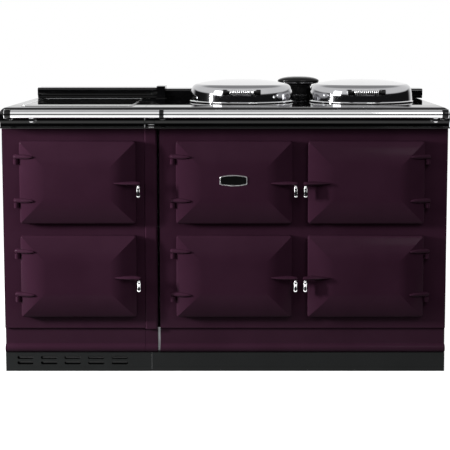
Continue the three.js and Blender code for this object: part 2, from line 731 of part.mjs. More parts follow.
// ---------------------------------------------------------------- ovens and control recess
function castBox(door, depth, backT) {
  const [y0, y1] = [behind(PLATE_T + SEAT_GAP), behind(PLATE_T + SEAT_GAP + depth + backT)];
  const outer = roundedRect(CAVITY_W + 2 * OVEN_WALL, CAVITY_H + 2 * OVEN_WALL,
    CAVITY_CORNER_R + OVEN_WALL, door.x, door.z);
  const inner = roundedRect(CAVITY_W, CAVITY_H, CAVITY_CORNER_R, door.x, door.z);
  return cut(runBack(outer, y0, y1), runBack(inner, y0 - OVERCUT, y1 - backT));
}

const runnerZ = (door, row) => door.z + (row - (RUNNER_ROWS - 1) / 2) * RUNNER_PITCH;

function ovenRunners(door) {
  const runners = [];
  const y0 = behind(PLATE_T + SEAT_GAP + RUNNER_SETBACK);
  const y1 = behind(PLATE_T + SEAT_GAP + CAVITY_DEPTH) + OVERCUT;
  for (const side of [-1, 1]) {
    for (let row = 0; row < RUNNER_ROWS; row += 1) {
      const wall = door.x + side * (CAVITY_W / 2 + OVERCUT);
      const tip = door.x + side * (CAVITY_W / 2 - RUNNER_W);
      const z = runnerZ(door, row);
      runners.push(slab(Math.min(wall, tip), Math.max(wall, tip), y0, y1, z - RUNNER_T, z));
    }
  }
  return runners;
}

function ovenShelf(door) {
  const z0 = runnerZ(door, 0) + SEAT_GAP;
  const [x0, x1] = [door.x - CAVITY_W / 2 + SHELF_PLAY, door.x + CAVITY_W / 2 - SHELF_PLAY];
  const y0 = behind(PLATE_T + SEAT_GAP + RUNNER_SETBACK + OVEN_WALL);
  const y1 = behind(PLATE_T + SEAT_GAP + CAVITY_DEPTH - SHELF_BACK_GAP);
  const inside = slab(x0 + SHELF_BAR, x1 - SHELF_BAR, y0 + SHELF_BAR, y1 - SHELF_BAR,
    z0 - OVERCUT, z0 + SHELF_BAR + OVERCUT);
  const frame = cut(slab(x0, x1, y0, y1, z0, z0 + SHELF_BAR), inside);
  const wires = [];
  for (let i = 1; i <= SHELF_WIRES; i += 1) {
    const x = x0 + ((x1 - x0) * i) / (SHELF_WIRES + 1);
    wires.push(backRod(SHELF_WIRE_R, x, y0 + OVERCUT, y1 - OVERCUT, z0 + SHELF_BAR / 2, SHELF_WIRE_SIDES));
  }
  return join(frame, ...wires);
}

function buildOvens() {
  for (const door of doors) {
    if (door.name === 'control') continue;
    add(door.name, join(castBox(door, CAVITY_DEPTH, OVEN_WALL), ...ovenRunners(door)), castIron);
    if (SHELVED.includes(door.name)) add(`${door.name}_shelf`, ovenShelf(door), steelSheet);
  }
}

function buildControls() {
  const door = doors.find((one) => one.name === 'control');
  const faceY = behind(PLATE_T + SEAT_GAP + CONTROL_DEPTH);
  const boreEnd = faceY + KNOB_STEM_L + KNOB_STOP_PLAY;
  const bore = backRod(PIN_R + RUNNING_GAP, door.x, faceY - OVERCUT, boreEnd, door.z);
  add('control_panel', cut(castBox(door, CONTROL_DEPTH, CONTROL_PANEL_T), bore), darkSheet);
  const faceR = KNOB_R - KNOB_TAPER;
  const profile = [
    [0, KNOB_L],
    [faceR - KNOB_ROUND, KNOB_L],
    [faceR, KNOB_L - KNOB_ROUND],
    [faceR, KNOB_SKIRT_H + KNOB_TAPER],
    [KNOB_R, KNOB_SKIRT_H],
    [KNOB_R, 0],
    [PIN_R, 0],
    [PIN_R, -KNOB_STEM_L],
    [0, -KNOB_STEM_L],
  ];
  const knob = turned(profile, RAIL_SIDES).rotateX(Math.PI / 2);
  const pointer = slab(-POINTER_W / 2, POINTER_W / 2, -KNOB_L - POINTER_PROUD, OVERCUT - KNOB_L,
    POINTER_W, faceR - KNOB_ROUND);
  const placed = join(knob, pointer).translate(door.x, faceY - SEAT_GAP, door.z);
  add('thermostat_knob', placed, blackEnamel);
}

// ---------------------------------------------------------------- top plates
// A fascia's outline from its lower edge up: flared lip, drawn-back face, rounded nose. It faces
// -1 or 1 along the first axis and closes at the inner line.
function fasciaOutline(face, inner, facing) {
  const shape = new THREE.Shape();
  shape.moveTo(inner, fasciaZ);
  shape.lineTo(face + facing * LIP_FLARE, fasciaZ);
  shape.lineTo(face + facing * LIP_FLARE, fasciaZ + LIP_EDGE_H);
  shape.lineTo(face - facing * FASCIA_UNDERCUT, fasciaZ + LIP_H);
  shape.lineTo(face - facing * FASCIA_UNDERCUT, fasciaZ + UNDERCUT_RISE);
  shape.lineTo(face, fasciaZ + UNDERCUT_RISE + UNDERCUT_FALL);
  const start = facing < 0 ? Math.PI : 0;
  shape.absarc(face - facing * NOSE_R, hobZ - NOSE_R, NOSE_R, start, Math.PI / 2, facing < 0);
  shape.lineTo(inner, hobZ);
  return shape;
}

const noseProfile = () => fasciaOutline(ahead(TOP_OVERHANG), backY, -1);

function topPlate(side, innerX) {
  const outerX = side * (bodyW / 2 + LIP_FLARE);
  const [x0, x1] = [Math.min(innerX, outerX), Math.max(innerX, outerX)];
  const nose = runAcross(noseProfile(), x0, x1);
  const frontY = ahead(TOP_OVERHANG + LIP_FLARE + OVERCUT);
  const end = runBack(fasciaOutline(side * (bodyW / 2), innerX, side), frontY, backY + OVERCUT, NOSE_STEPS);
  const wallX = side * (bodyW / 2 - FASCIA_WALL);
  const jointX = innerX - side * FASCIA_WALL;
  const pocket = slab(Math.min(jointX, wallX), Math.max(jointX, wallX),
    ahead(TOP_OVERHANG - FASCIA_WALL), backY - FASCIA_WALL, fasciaZ - OVERCUT, hobZ - TOP_T);
  return cut(common(nose, end), pocket);
}

const leftTopInnerX = pilasterMid - TOP_STRIP_W / 2 - SEAT_GAP;
const glassW = leftTopInnerX - GLASS_RIGHT_MARGIN - (leftX + GLASS_INSET_X);
const glassD = ventSetback - GLASS_REAR_MARGIN - GLASS_SETBACK;
const glassX = leftX + GLASS_INSET_X + glassW / 2;
const glassY = behind(GLASS_SETBACK + glassD / 2);

function glassOutline(margin) {
  const radius = Math.max(GLASS_CORNER_R + margin, 2);
  return roundedRect(glassW + 2 * margin, glassD + 2 * margin, radius, glassX, glassY);
}

function buildHob() {
  const opening = raised(glassOutline(TRIM_W / 2), hobZ - TOP_T - OVERCUT, hobZ + OVERCUT);
  add('left_top_plate', cut(topPlate(-1, leftTopInnerX), opening), blackEnamel);
  const glassTop = hobZ + GLASS_PROUD;
  const ledgeZ = glassTop - GLASS_T - SEAT_GAP;
  const flange = raised(glassOutline(TRIM_W), topSeatZ, hobZ + TRIM_H);
  const collar = raised(glassOutline(TRIM_W / 2 - SEAT_GAP), hobZ - TOP_T, topSeatZ + SEAT_GAP);
  const rebate = raised(glassOutline(SEAT_GAP), ledgeZ, hobZ + TRIM_H + OVERCUT);
  const light = raised(glassOutline(-TRIM_LEDGE), hobZ - TOP_T - OVERCUT, ledgeZ + OVERCUT);
  add('hob_frame', cut(join(flange, collar), rebate, light), chrome);
  add('hob_glass', raised(glassOutline(0), ledgeZ + SEAT_GAP, glassTop), glassBlack);
  const trayTop = ledgeZ;
  const trayShell = raised(glassOutline(-TRIM_LEDGE - SEAT_GAP), trayTop - TRAY_DEPTH, trayTop);
  const floorZ = trayTop - TRAY_DEPTH + TRAY_T;
  const trayHollow = raised(glassOutline(-TRIM_LEDGE - TRAY_T), floorZ, trayTop + OVERCUT);
  const elements = ELEMENT_RADII.map((radius, i) => {
    const y = glassY + (i === 0 ? -1 : 1) * (glassD / 4);
    return post(radius, glassX, y, floorZ - OVERCUT, floorZ + ELEMENT_H, RAIL_SIDES);
  });
  add('hob_element_tray', join(cut(trayShell, trayHollow), ...elements), steelSheet);
}

// ---------------------------------------------------------------- hotplates, lids and their hinges
const lidHingeY = lidY + LID_R + LID_HINGE_BACK;
const lidHingeZ = hobZ + LID_HINGE_Z;

function lidLugs(centre) {
  return [-1, 1].map((side) => {
    const inner = centre.x + side * (LID_BARREL_L / 2 + SEAT_GAP);
    const outer = inner + side * LID_LUG_T;
    const [x0, x1] = [Math.min(inner, outer), Math.max(inner, outer)];
    const [y0, y1] = [lidHingeY - LID_BARREL_R, lidHingeY + LID_BARREL_R];
    const stem = slab(x0, x1, y0, y1, hobZ - SEAT_GAP, lidHingeZ);
    const head = crossRod(LID_BARREL_R, x0, x1, lidHingeY, lidHingeZ);
    const boreEnd = inner + side * (LID_PIN_L + PIN_END_PLAY);
    const boreStart = inner - side * OVERCUT;
    const bore = crossRod(PIN_R + RUNNING_GAP, Math.min(boreStart, boreEnd), Math.max(boreStart, boreEnd),
      lidHingeY, lidHingeZ, SMALL_SIDES);
    return cut(join(stem, head), bore);
  });
}

function buildHotTop() {
  const innerX = pilasterMid + TOP_STRIP_W / 2 + SEAT_GAP;
  const holes = lidCentres.map((centre) => post(HOTPLATE_R + HOTPLATE_PLAY, centre.x, centre.y,
    hobZ - TOP_T - OVERCUT, hobZ + OVERCUT, LARGE_SIDES));
  const flueHole = post(FLUE_NECK_D / 2 - FLUE_WALL, FLUE_MIDDLE_X, flueY,
    hobZ - TOP_T - OVERCUT, hobZ + OVERCUT);
  const plate = cut(topPlate(1, innerX), ...holes, flueHole);
  add('right_top_plate', join(plate, ...lidCentres.flatMap(lidLugs)), blackEnamel);
  const flangeZ = hobZ - TOP_T - SEAT_GAP;
  const profile = [
    [0, hobZ + HOTPLATE_PROUD],
    [HOTPLATE_R - HOTPLATE_CHAMFER, hobZ + HOTPLATE_PROUD],
    [HOTPLATE_R, hobZ + HOTPLATE_PROUD - HOTPLATE_CHAMFER],
    [HOTPLATE_R, flangeZ],
    [HOTPLATE_R + HOTPLATE_FLANGE, flangeZ],
    [HOTPLATE_R + HOTPLATE_FLANGE, flangeZ - HOTPLATE_FLANGE_T],
    [HOTPLATE_R, hobZ - HOTPLATE_T],
    [0, hobZ - HOTPLATE_T],
  ];
  ['boiling_plate', 'simmering_plate'].forEach((name, i) => {
    add(name, turned(profile).translate(lidCentres[i].x, lidCentres[i].y, 0), castIron);
  });
}

// The domed lid's outer outline, grown sideways by margin. The wall leans in more and more until
// it rolls over into the dome.
function lidOutline(margin) {
  const z0 = hobZ + LID_RISE;
  const bandR = LID_R - LID_BAND_SETBACK;
  const dome = [0, 0.45, 0.8].map((run) => {
    return [(LID_DOME_R + margin) * run, z0 + LID_WALL_H + LID_DOME_H * (1 - run ** 2)];
  });
  const wall = [1, 0.9, 0.74, 0.5, 0].map((rise) => {
    const radius = LID_DOME_R + (bandR - LID_DOME_R) * (1 - rise ** LID_WALL_CURVE);
    return [radius + margin, z0 + LID_BAND_H + (LID_WALL_H - LID_BAND_H) * rise];
  });
  return [
    ...dome,
    ...wall,
    [LID_R + margin, z0 + LID_RIM_H],
    [LID_R + margin, z0],
  ];
}

function domedLid() {
  const z0 = hobZ + LID_RISE;
  const under = [
    [LID_R - LID_RIM_W, z0],
    [LID_R - 2 * LID_RIM_W, z0 + LID_LINER_RISE],
    [0, z0 + LID_LINER_RISE],
  ];
  const shell = turned([...lidOutline(0), ...under]);
  const barrelY = LID_R + LID_HINGE_BACK;
  const barrel = crossRod(LID_BARREL_R, -LID_BARREL_L / 2, LID_BARREL_L / 2, barrelY, lidHingeZ);
  const armTop = lidHingeZ + LID_BARREL_R;
  const arm = slab(-LID_BARREL_L / 2, LID_BARREL_L / 2, LID_R - 2 * LID_RIM_W, barrelY,
    armTop - LID_ARM_T, armTop);
  const reach = LID_BARREL_L / 2 + LID_PIN_L;
  const pin = crossRod(PIN_R, -reach, reach, barrelY, lidHingeZ, SMALL_SIDES);
  return join(shell, barrel, arm, pin);
}

const rodZ = hobZ + LID_RISE + LID_ROD_Z;
const rodY = -LID_R - LID_ROD_OUT;

function lidHandle() {
  const posts = [-1, 1].map((side) => {
    const outer = side * (LID_HANDLE_W / 2);
    const inner = outer - side * LID_POST_W;
    const shape = new THREE.Shape();
    shape.moveTo(LID_POST_ROOT - LID_R, rodZ - LID_POST_ROOT_H / 2);
    shape.lineTo(rodY, rodZ - LID_POST_H / 2);
    shape.absarc(rodY, rodZ, LID_POST_H / 2, Math.PI * 1.5, Math.PI / 2, true);
    shape.lineTo(LID_POST_ROOT - LID_R, rodZ + LID_POST_ROOT_H / 2);
    return runAcross(shape, Math.min(inner, outer), Math.max(inner, outer));
  });
  const reach = (LID_HANDLE_W - LID_POST_W) / 2;
  const rod = crossRod(LID_ROD_R, -reach, reach, rodY, rodZ, SMALL_SIDES);
  const z0 = hobZ + LID_RISE;
  const grown = [...lidOutline(HANDLE_SEAT), [0, z0]];
  return cut(join(...posts, rod), turned(grown));
}

// Centre line of a coil wound along X, its ends turned to run straight along X.
function coilPath() {
  const half = (COIL_TURNS * COIL_PITCH) / 2;
  const points = [];
  const steps = COIL_TURNS * COIL_STEPS;
  for (let i = 0; i <= steps; i += 1) {
    const angle = (i / COIL_STEPS) * Math.PI * 2;
    const x = -half + (i / COIL_STEPS) * COIL_PITCH;
    points.push(new THREE.Vector3(x, COIL_MEAN_R * Math.cos(angle), COIL_MEAN_R * Math.sin(angle)));
  }
  const lead = (end, before, along) => {
    const tangent = end.clone().sub(before).setX(0).normalize();
    const elbow = end.clone().addScaledVector(tangent, COIL_BEND).addScaledVector(along, COIL_BEND / 3);
    const straight = elbow.clone().addScaledVector(along, COIL_BEND);
    const halfway = end.clone().add(straight).addScaledVector(elbow, 2).multiplyScalar(1 / 4);
    return [halfway, straight, straight.clone().addScaledVector(along, COIL_END_L)];
  };
  const out = new THREE.Vector3(1, 0, 0);
  const head = lead(points[0], points[1], out.clone().negate());
  const tail = lead(points[steps], points[steps - 1], out);
  return [...head.reverse(), ...points, ...tail];
}

// Least distance between the surfaces of wire stretches that aren't neighbours along the path.
function leastGap(path) {
  let least = Infinity;
  const skip = Math.ceil(COIL_STEPS / 2);
  for (let i = 0; i < path.length; i += 1) {
    for (let j = i + skip; j < path.length; j += 1) least = Math.min(least, path[i].distanceTo(path[j]));
  }
  return least - 2 * COIL_WIRE_R;
}

function wireAlong(path) {
  const rings = [];
  let normal = new THREE.Vector3(0, 0, 1);
  path.forEach((point, i) => {
    const next = path[Math.min(i + 1, path.length - 1)];
    const last = path[Math.max(i - 1, 0)];
    const tangent = next.clone().sub(last).normalize();
    normal = normal.clone().addScaledVector(tangent, -normal.dot(tangent)).normalize();
    const side = tangent.clone().cross(normal);
    const ring = [];
    for (let k = 0; k < COIL_SIDES; k += 1) {
      const angle = (k / COIL_SIDES) * Math.PI * 2;
      const spoke = normal.clone().multiplyScalar(Math.cos(angle)).addScaledVector(side, Math.sin(angle));
      ring.push(point.clone().addScaledVector(spoke, COIL_WIRE_R).toArray());
    }
    rings.push(ring);
  });
  return skinned(rings);
}

function buildLids() {
  const path = coilPath();
  console.log(`least gap between coil turns: ${leastGap(path).toFixed(2)} mm`);
  ['boiling', 'simmering'].forEach((name, i) => {
    const centre = lidCentres[i];
    add(`${name}_lid`, domedLid().translate(centre.x, centre.y, 0), chrome);
    add(`${name}_lid_handle`, lidHandle().translate(centre.x, centre.y, 0), blackEnamel);
    add(`${name}_lid_coil`, wireAlong(path).translate(centre.x, centre.y + rodY, rodZ), chrome);
  });
}

// ---------------------------------------------------------------- joint, upstands and flue
function buildJoint() {
  const [x0, x1] = [pilasterMid - TOP_STRIP_W / 2, pilasterMid + TOP_STRIP_W / 2];
  const relief = slab(x0 - OVERCUT, x1 + OVERCUT, behind(PLATE_T), backY + OVERCUT,
    fasciaZ - OVERCUT, hobZ - TOP_T);
  const strip = cut(runAcross(noseProfile(), x0, x1), relief);
  const block = slab(x0, x1, behind(ventSetback - JOINT_BLOCK_FRONT), backY, hobZ - OVERCUT,
    hobZ + JOINT_BLOCK_H);
  add('joint_block', join(strip, block), blackEnamel);
  const width = PILASTER_W - SEAT_GAP;
  const depth = PILASTER_PROUD + PLATE_T;
  const plan = roundedRect(width, 2 * depth, PILASTER_ROUND, pilasterX1 - width / 2, behind(PLATE_T));
  const rear = slab(pilasterX0 - OVERCUT, pilasterX1 + OVERCUT, behind(PLATE_T), behind(PLATE_T + depth),
    0, hobZ);
  const bar = cut(raised(plan, skirtTopZ - OVERCUT, frontPlateZ1, PILASTER_STEPS), rear);
  const foot = skirt(pilasterX0 + SEAT_GAP, pilasterX1);
  add('joint_pilaster', join(bar, foot), aubergine);
}

function upstandProfile(height) {
  const shape = new THREE.Shape();
  const [y0, y1] = [behind(ventSetback), backY];
  const z1 = hobZ + height;
  shape.moveTo(y1, topSeatZ);
  shape.lineTo(y0 + VENT_WALL, topSeatZ);
  shape.lineTo(y0 + VENT_WALL, topSeatZ + VENT_SLOT_Z);
  shape.lineTo(y0, topSeatZ + VENT_SLOT_Z);
  shape.absarc(y0 + VENT_NOSE_R, z1 - VENT_NOSE_R, VENT_NOSE_R, Math.PI, Math.PI / 2, true);
  shape.lineTo(y1, z1);
  return shape;
}

function upstand(x0, x1, height) {
  const [y0, y1] = [behind(ventSetback), backY];
  const hollow = slab(x0 + VENT_WALL, x1 - VENT_WALL, y0 + VENT_FRONT_T, y1 - VENT_WALL,
    hobZ - OVERCUT, hobZ + height - VENT_WALL);
  return cut(runAcross(upstandProfile(height), x0, x1), hollow);
}

function buildRear() {
  const [x0, x1] = [pilasterMid - TOP_STRIP_W / 2, pilasterMid + TOP_STRIP_W / 2];
  const ventX0 = leftX + VENT_INSET;
  const slotZ = topSeatZ + VENT_SLOT_Z + VENT_SLOT_H;
  const slot = slab(ventX0 + VENT_SLOT_INSET, x0 - VENT_SLOT_INSET, behind(ventSetback) - OVERCUT,
    behind(ventSetback + VENT_FRONT_T) + OVERCUT, slotZ, slotZ + VENT_SLOT_H);
  add('hob_vent', cut(upstand(ventX0, x0 - SEAT_GAP, VENT_H), slot), blackEnamel);
  const notchW = FLUE_NECK_W / 2 + VENT_WALL;
  const neckBackY = flueY + FLUE_NECK_D / 2 + SEAT_GAP;
  const notch = slab(FLUE_MIDDLE_X - notchW, FLUE_MIDDLE_X + notchW, behind(ventSetback) - OVERCUT,
    neckBackY, hobZ - OVERCUT, hobZ + UPSTAND_H + OVERCUT);
  const noseEnd = rightX - LIP_FLARE;
  add('rear_upstand', cut(upstand(x1 + SEAT_GAP, noseEnd, UPSTAND_H), notch), blackEnamel);
}

function ovalRing(width, depth, z, sides = RAIL_SIDES) {
  const points = [];
  for (let i = 0; i < sides; i += 1) {
    const angle = (i / sides) * Math.PI * 2;
    points.push([(width / 2) * Math.cos(angle), (depth / 2) * Math.sin(angle), z]);
  }
  return points;
}

function buildFlue() {
  const neckTop = FLUE_NECK_H;
  const collarW = FLUE_NECK_W + 2 * FLUE_COLLAR_PROUD;
  const collarD = FLUE_NECK_D + 2 * FLUE_COLLAR_PROUD;
  const edgeTop = neckTop + FLUE_CAP_EDGE;
  const dome = [0.2, 0.5, 0.8, 1].map((fall) => {
    const run = Math.cos((fall * Math.PI) / 2);
    const height = edgeTop + FLUE_CAP_DOME * Math.sin((fall * Math.PI) / 2);
    const crown = Math.max(run, 0.1);
    return ovalRing((FLUE_CAP_W - FLUE_CAP_ROUND) * crown, (FLUE_CAP_D - FLUE_CAP_ROUND) * crown, height);
  });
  const outer = skinned([
    ovalRing(FLUE_NECK_W, FLUE_NECK_D, SEAT_GAP),
    ovalRing(FLUE_NECK_W, FLUE_NECK_D, neckTop - 2 * FLUE_COLLAR_H),
    ovalRing(collarW, collarD, neckTop - 2 * FLUE_COLLAR_H + FLUE_COLLAR_PROUD / 2),
    ovalRing(collarW, collarD, neckTop - FLUE_COLLAR_H),
    ovalRing(FLUE_CAP_W - 2 * FLUE_CAP_ROUND, FLUE_CAP_D - 2 * FLUE_CAP_ROUND, neckTop),
    ovalRing(FLUE_CAP_W, FLUE_CAP_D, neckTop + FLUE_CAP_ROUND),
    ovalRing(FLUE_CAP_W - FLUE_CAP_ROUND, FLUE_CAP_D - FLUE_CAP_ROUND, edgeTop),
    ...dome,
  ]);
  const bore = skinned([
    ovalRing(FLUE_NECK_W - 2 * FLUE_WALL, FLUE_NECK_D - 2 * FLUE_WALL, -OVERCUT),
    ovalRing(FLUE_NECK_W - 2 * FLUE_WALL, FLUE_NECK_D - 2 * FLUE_WALL, neckTop),
  ]);
  const place = (geometry) => geometry.translate(FLUE_MIDDLE_X, flueY, hobZ);
  add('flue_cap', place(cut(outer, bore)), blackEnamel);
  const boxTop = hobZ - TOP_T - SEAT_GAP;
  const [x0, x1] = [FLUE_MIDDLE_X - FLUE_BOX_W / 2, FLUE_MIDDLE_X + FLUE_BOX_W / 2];
  const y1 = backY - FASCIA_WALL - SEAT_GAP;
  const y0 = y1 - FLUE_BOX_D;
  const hollow = slab(x0 + FLUE_WALL, x1 - FLUE_WALL, y0 + FLUE_WALL, y1 - FLUE_WALL,
    boxTop - FLUE_BOX_H + FLUE_WALL, boxTop + OVERCUT);
  add('flue_chamber', cut(slab(x0, x1, y0, y1, boxTop - FLUE_BOX_H, boxTop), hollow), castIron);
}

// ---------------------------------------------------------------- towel rails
const middleX = leftX + MIDDLE_BLOCK_X;
const railSpans = [
  ['left_rail', leftX + RAIL_LEFT_INSET, middleX - MIDDLE_BLOCK_W / 2],
  ['right_rail', middleX + MIDDLE_BLOCK_W / 2, rightX - RAIL_RIGHT_INSET],
];

function railBracket(x, width, spigotSides) {
  const block = crossRod(END_BLOCK_R, x - width / 2, x + width / 2, railY, railZ, GRIP_SIDES);
  const spigotR = RAIL_R - RAIL_WALL - SEAT_GAP;
  const spigots = spigotSides.map((side) => {
    const reach = x + side * (width / 2 + SPIGOT_L);
    return crossRod(spigotR, Math.min(x, reach), Math.max(x, reach), railY, railZ);
  });
  const fasciaY = ahead(TOP_OVERHANG) - SEAT_GAP;
  const armZ = railZ - RAIL_ARM_DROP;
  const armR = Math.min(RAIL_ARM_R, width / 2);
  const arm = backRod(armR, x, railY, fasciaY, armZ);
  const rosette = backRod(ROSETTE_R, x, fasciaY - ROSETTE_T, fasciaY, armZ);
  return join(block, arm, rosette, ...spigots);
}

function buildRails() {
  for (const [name, x0, x1] of railSpans) {
    const tube = crossRod(RAIL_R, x0 + SEAT_GAP, x1 - SEAT_GAP, railY, railZ, RAIL_SIDES);
    const bore = crossRod(RAIL_R - RAIL_WALL, x0 - OVERCUT, x1 + OVERCUT, railY, railZ, RAIL_SIDES);
    add(name, cut(tube, bore), chrome);
  }
  const [leftEnd, rightEnd] = [railSpans[0][1] - END_BLOCK_W / 2, railSpans[1][2] + END_BLOCK_W / 2];
  add('left_rail_bracket', railBracket(leftEnd, END_BLOCK_W, [1]), blackEnamel);
  add('middle_rail_bracket', railBracket(middleX, MIDDLE_BLOCK_W, [-1, 1]), blackEnamel);
  add('right_rail_bracket', railBracket(rightEnd, END_BLOCK_W, [-1]), blackEnamel);
}

// ---------------------------------------------------------------- the whole cooker
buildBase();
buildCasing();
buildLowerTrim();
add('left_front_plate', frontPlate(leftX, pilasterX0, leftDoors), aubergine);
add('right_front_plate', frontPlate(rightModuleX, rightX, rightDoors), aubergine);
buildJoint();
buildOvens();
buildControls();
buildDoors();
buildHob();
buildHotTop();
buildLids();
buildRear();
buildFlue();
buildRails();

export default cooker;
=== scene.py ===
"""Looks of the cast iron range cooker: enamel castings, chrome lids and rails, glass hob, studio.
+Z is up and the front faces -Y. Pieces are drawn in millimetres, and settle brings them to metres."""
import json
import math
import bmesh
import bpy
from mathutils import Matrix, Vector

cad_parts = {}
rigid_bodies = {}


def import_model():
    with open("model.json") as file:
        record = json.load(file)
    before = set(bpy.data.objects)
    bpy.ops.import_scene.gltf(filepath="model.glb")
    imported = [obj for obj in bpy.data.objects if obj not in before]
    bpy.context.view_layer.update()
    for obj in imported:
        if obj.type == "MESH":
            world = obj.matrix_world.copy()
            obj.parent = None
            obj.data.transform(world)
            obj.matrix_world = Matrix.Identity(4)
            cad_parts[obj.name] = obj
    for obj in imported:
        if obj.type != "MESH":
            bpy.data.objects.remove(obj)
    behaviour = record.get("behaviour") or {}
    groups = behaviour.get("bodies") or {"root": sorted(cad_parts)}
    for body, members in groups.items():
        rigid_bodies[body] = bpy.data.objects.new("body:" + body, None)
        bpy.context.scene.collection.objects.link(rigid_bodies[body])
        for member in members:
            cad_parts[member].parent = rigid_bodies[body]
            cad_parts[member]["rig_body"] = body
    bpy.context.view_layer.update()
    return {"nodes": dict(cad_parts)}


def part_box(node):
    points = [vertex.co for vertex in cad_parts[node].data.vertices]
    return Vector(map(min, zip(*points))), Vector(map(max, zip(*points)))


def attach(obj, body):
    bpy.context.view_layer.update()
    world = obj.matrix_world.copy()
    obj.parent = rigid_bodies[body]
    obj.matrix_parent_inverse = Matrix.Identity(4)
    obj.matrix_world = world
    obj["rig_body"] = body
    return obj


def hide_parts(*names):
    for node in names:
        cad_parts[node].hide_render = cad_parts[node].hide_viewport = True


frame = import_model()
MM = 0.001

# ---------------------------------------------------------------- camera
CAMERA_PLACE = (0.0495, -4.3081, 1.1165)
CAMERA_DIP = 5.59  # degrees below level
CAMERA_LENS, CAMERA_SENSOR = 97.94, 36
CAMERA_SHIFT = (-0.033, -0.15)

camera_data = bpy.data.cameras.new("camera")
camera = bpy.data.objects.new("camera", camera_data)
bpy.context.scene.collection.objects.link(camera)
camera.location = CAMERA_PLACE
camera.rotation_euler = (math.radians(90 - CAMERA_DIP), 0, 0)
camera_data.sensor_width = CAMERA_SENSOR
camera_data.lens = CAMERA_LENS
camera_data.shift_x, camera_data.shift_y = CAMERA_SHIFT
bpy.context.scene.camera = camera
bpy.context.scene.view_settings.view_transform = "Standard"


# ---------------------------------------------------------------- shader helpers
def put(tree, kind, inputs=None, **settings):
    """Adds a node; an input is a socket to link or a value to set."""
    node = tree.nodes.new(kind)
    for key, value in settings.items():
        setattr(node, key, value)
    for key, value in (inputs or {}).items():
        if isinstance(value, bpy.types.NodeSocket):
            tree.links.new(value, node.inputs[key])
        else:
            node.inputs[key].default_value = value
    return node


def calc(tree, operation, a, b=0.0, c=None):
    """One step of arithmetic on sockets or numbers."""
    inputs = {0: a, 1: b}
    if c is not None:
        inputs[2] = c
    return put(tree, "ShaderNodeMath", inputs, operation=operation).outputs[0]


def spread(tree, value, low, high, to_low, to_high):
    """Maps low..high smoothly on to to_low..to_high, and holds it there outside."""
    inputs = {"Value": value, "From Min": low, "From Max": high, "To Min": to_low, "To Max": to_high}
    return put(tree, "ShaderNodeMapRange", inputs, interpolation_type="SMOOTHSTEP").outputs["Result"]


def mixed(tree, factor, a, b, blend="MIX"):
    inputs = {0: factor, 6: a, 7: b}
    return put(tree, "ShaderNodeMix", inputs, data_type="RGBA", blend_type=blend).outputs[2]


def noise(tree, where, scale, detail, roughness):
    inputs = {"Vector": where, "Scale": scale, "Detail": detail, "Roughness": roughness}
    return put(tree, "ShaderNodeTexNoise", inputs).outputs["Fac"]


def patches(tree, where, scale, detail, low, high):
    """Soft-edged patches, from 0 to 1."""
    return spread(tree, noise(tree, where, scale, detail, 0.6), low, high, 0.0, 1.0)


def cells(tree, where, scale, randomness=1.0):
    """Distance to the nearest of many points."""
    inputs = {"Vector": where, "Scale": scale, "Randomness": randomness}
    return put(tree, "ShaderNodeTexVoronoi", inputs).outputs["Distance"]


def axis_of(tree, vector, axis):
    return put(tree, "ShaderNodeSeparateXYZ", {0: vector}).outputs[axis]


def reach_from(tree, where, centre):
    """Level distance from an upright line through centre."""
    local = put(tree, "ShaderNodeVectorMath", {0: where, 1: centre}, operation="SUBTRACT").outputs[0]
    flat = put(tree, "ShaderNodeVectorMath", {0: local, 1: (1, 1, 0)}, operation="MULTIPLY").outputs[0]
    return put(tree, "ShaderNodeVectorMath", {0: flat}, operation="LENGTH").outputs["Value"]


def place_on(tree):
    """The Object coordinates that the material already reads."""
    return next(node for node in tree.nodes if node.type == "TEX_COORD").outputs["Object"]


def grey(level):
    return (level, level, level, 1)


# ---------------------------------------------------------------- surface effects
WHERE = ("Position", "Vector", None)
SURFACE = [("Colour", "Color"), ("Roughness", "Float"), ("Height", "Float")]
PINHOLE_CELLS = 420.0
PINHOLE_COLOUR = (0.004, 0.003, 0.004, 1)
PIT_CELLS = 260.0
PIT_COLOUR = (0.01, 0.01, 0.01, 1)
DUST_COLOUR = (0.4, 0.38, 0.35, 1)


def effect_group(name, inputs, outputs, build):
    """A shader group with named sockets, built once."""
    group = bpy.data.node_groups.new(name, "ShaderNodeTree")
    kinds = {"Color": "NodeSocketColor", "Float": "NodeSocketFloat", "Vector": "NodeSocketVector"}
    for label, kind, value in inputs:
        socket = group.interface.new_socket(label, in_out="INPUT", socket_type=kinds[kind])
        if value is not None:
            socket.default_value = value
    for label, kind in outputs:
        group.interface.new_socket(label, in_out="OUTPUT", socket_type=kinds[kind])
    entry = group.nodes.new("NodeGroupInput")
    leave = group.nodes.new("NodeGroupOutput")
    made = build(group, entry.outputs)
    for label, socket in made.items():
        group.links.new(socket, leave.inputs[label])
    return group


def build_enamel(tree, given):
    """Fired enamel: the colour flows slightly, with tiny pinholes and a faint ripple."""
    where = given["Position"]
    cloud = noise(tree, where, given["Flow Scale"], 4.0, 0.55)
    flow = spread(tree, cloud, 0.35, 0.68, 0.0, 1.0)
    colour = mixed(tree, flow, given["Colour"], given["Thin Colour"])
    specks = cells(tree, where, PINHOLE_CELLS)
    pinhole = spread(tree, specks, 0.03, 0.1, given["Pinholes"], 0.0)
    colour = mixed(tree, pinhole, colour, PINHOLE_COLOUR)
    ripple = noise(tree, where, given["Ripple Scale"], 2.0, 0.4)
    smudge = patches(tree, where, 9.0, 5.0, 0.4, 0.75)
    rough = calc(tree, "MULTIPLY_ADD", smudge, given["Smudge"], given["Gloss"])
    height = calc(tree, "SUBTRACT", ripple, calc(tree, "MULTIPLY", pinhole, 0.6))
    return {"Colour": colour, "Roughness": rough, "Height": height}


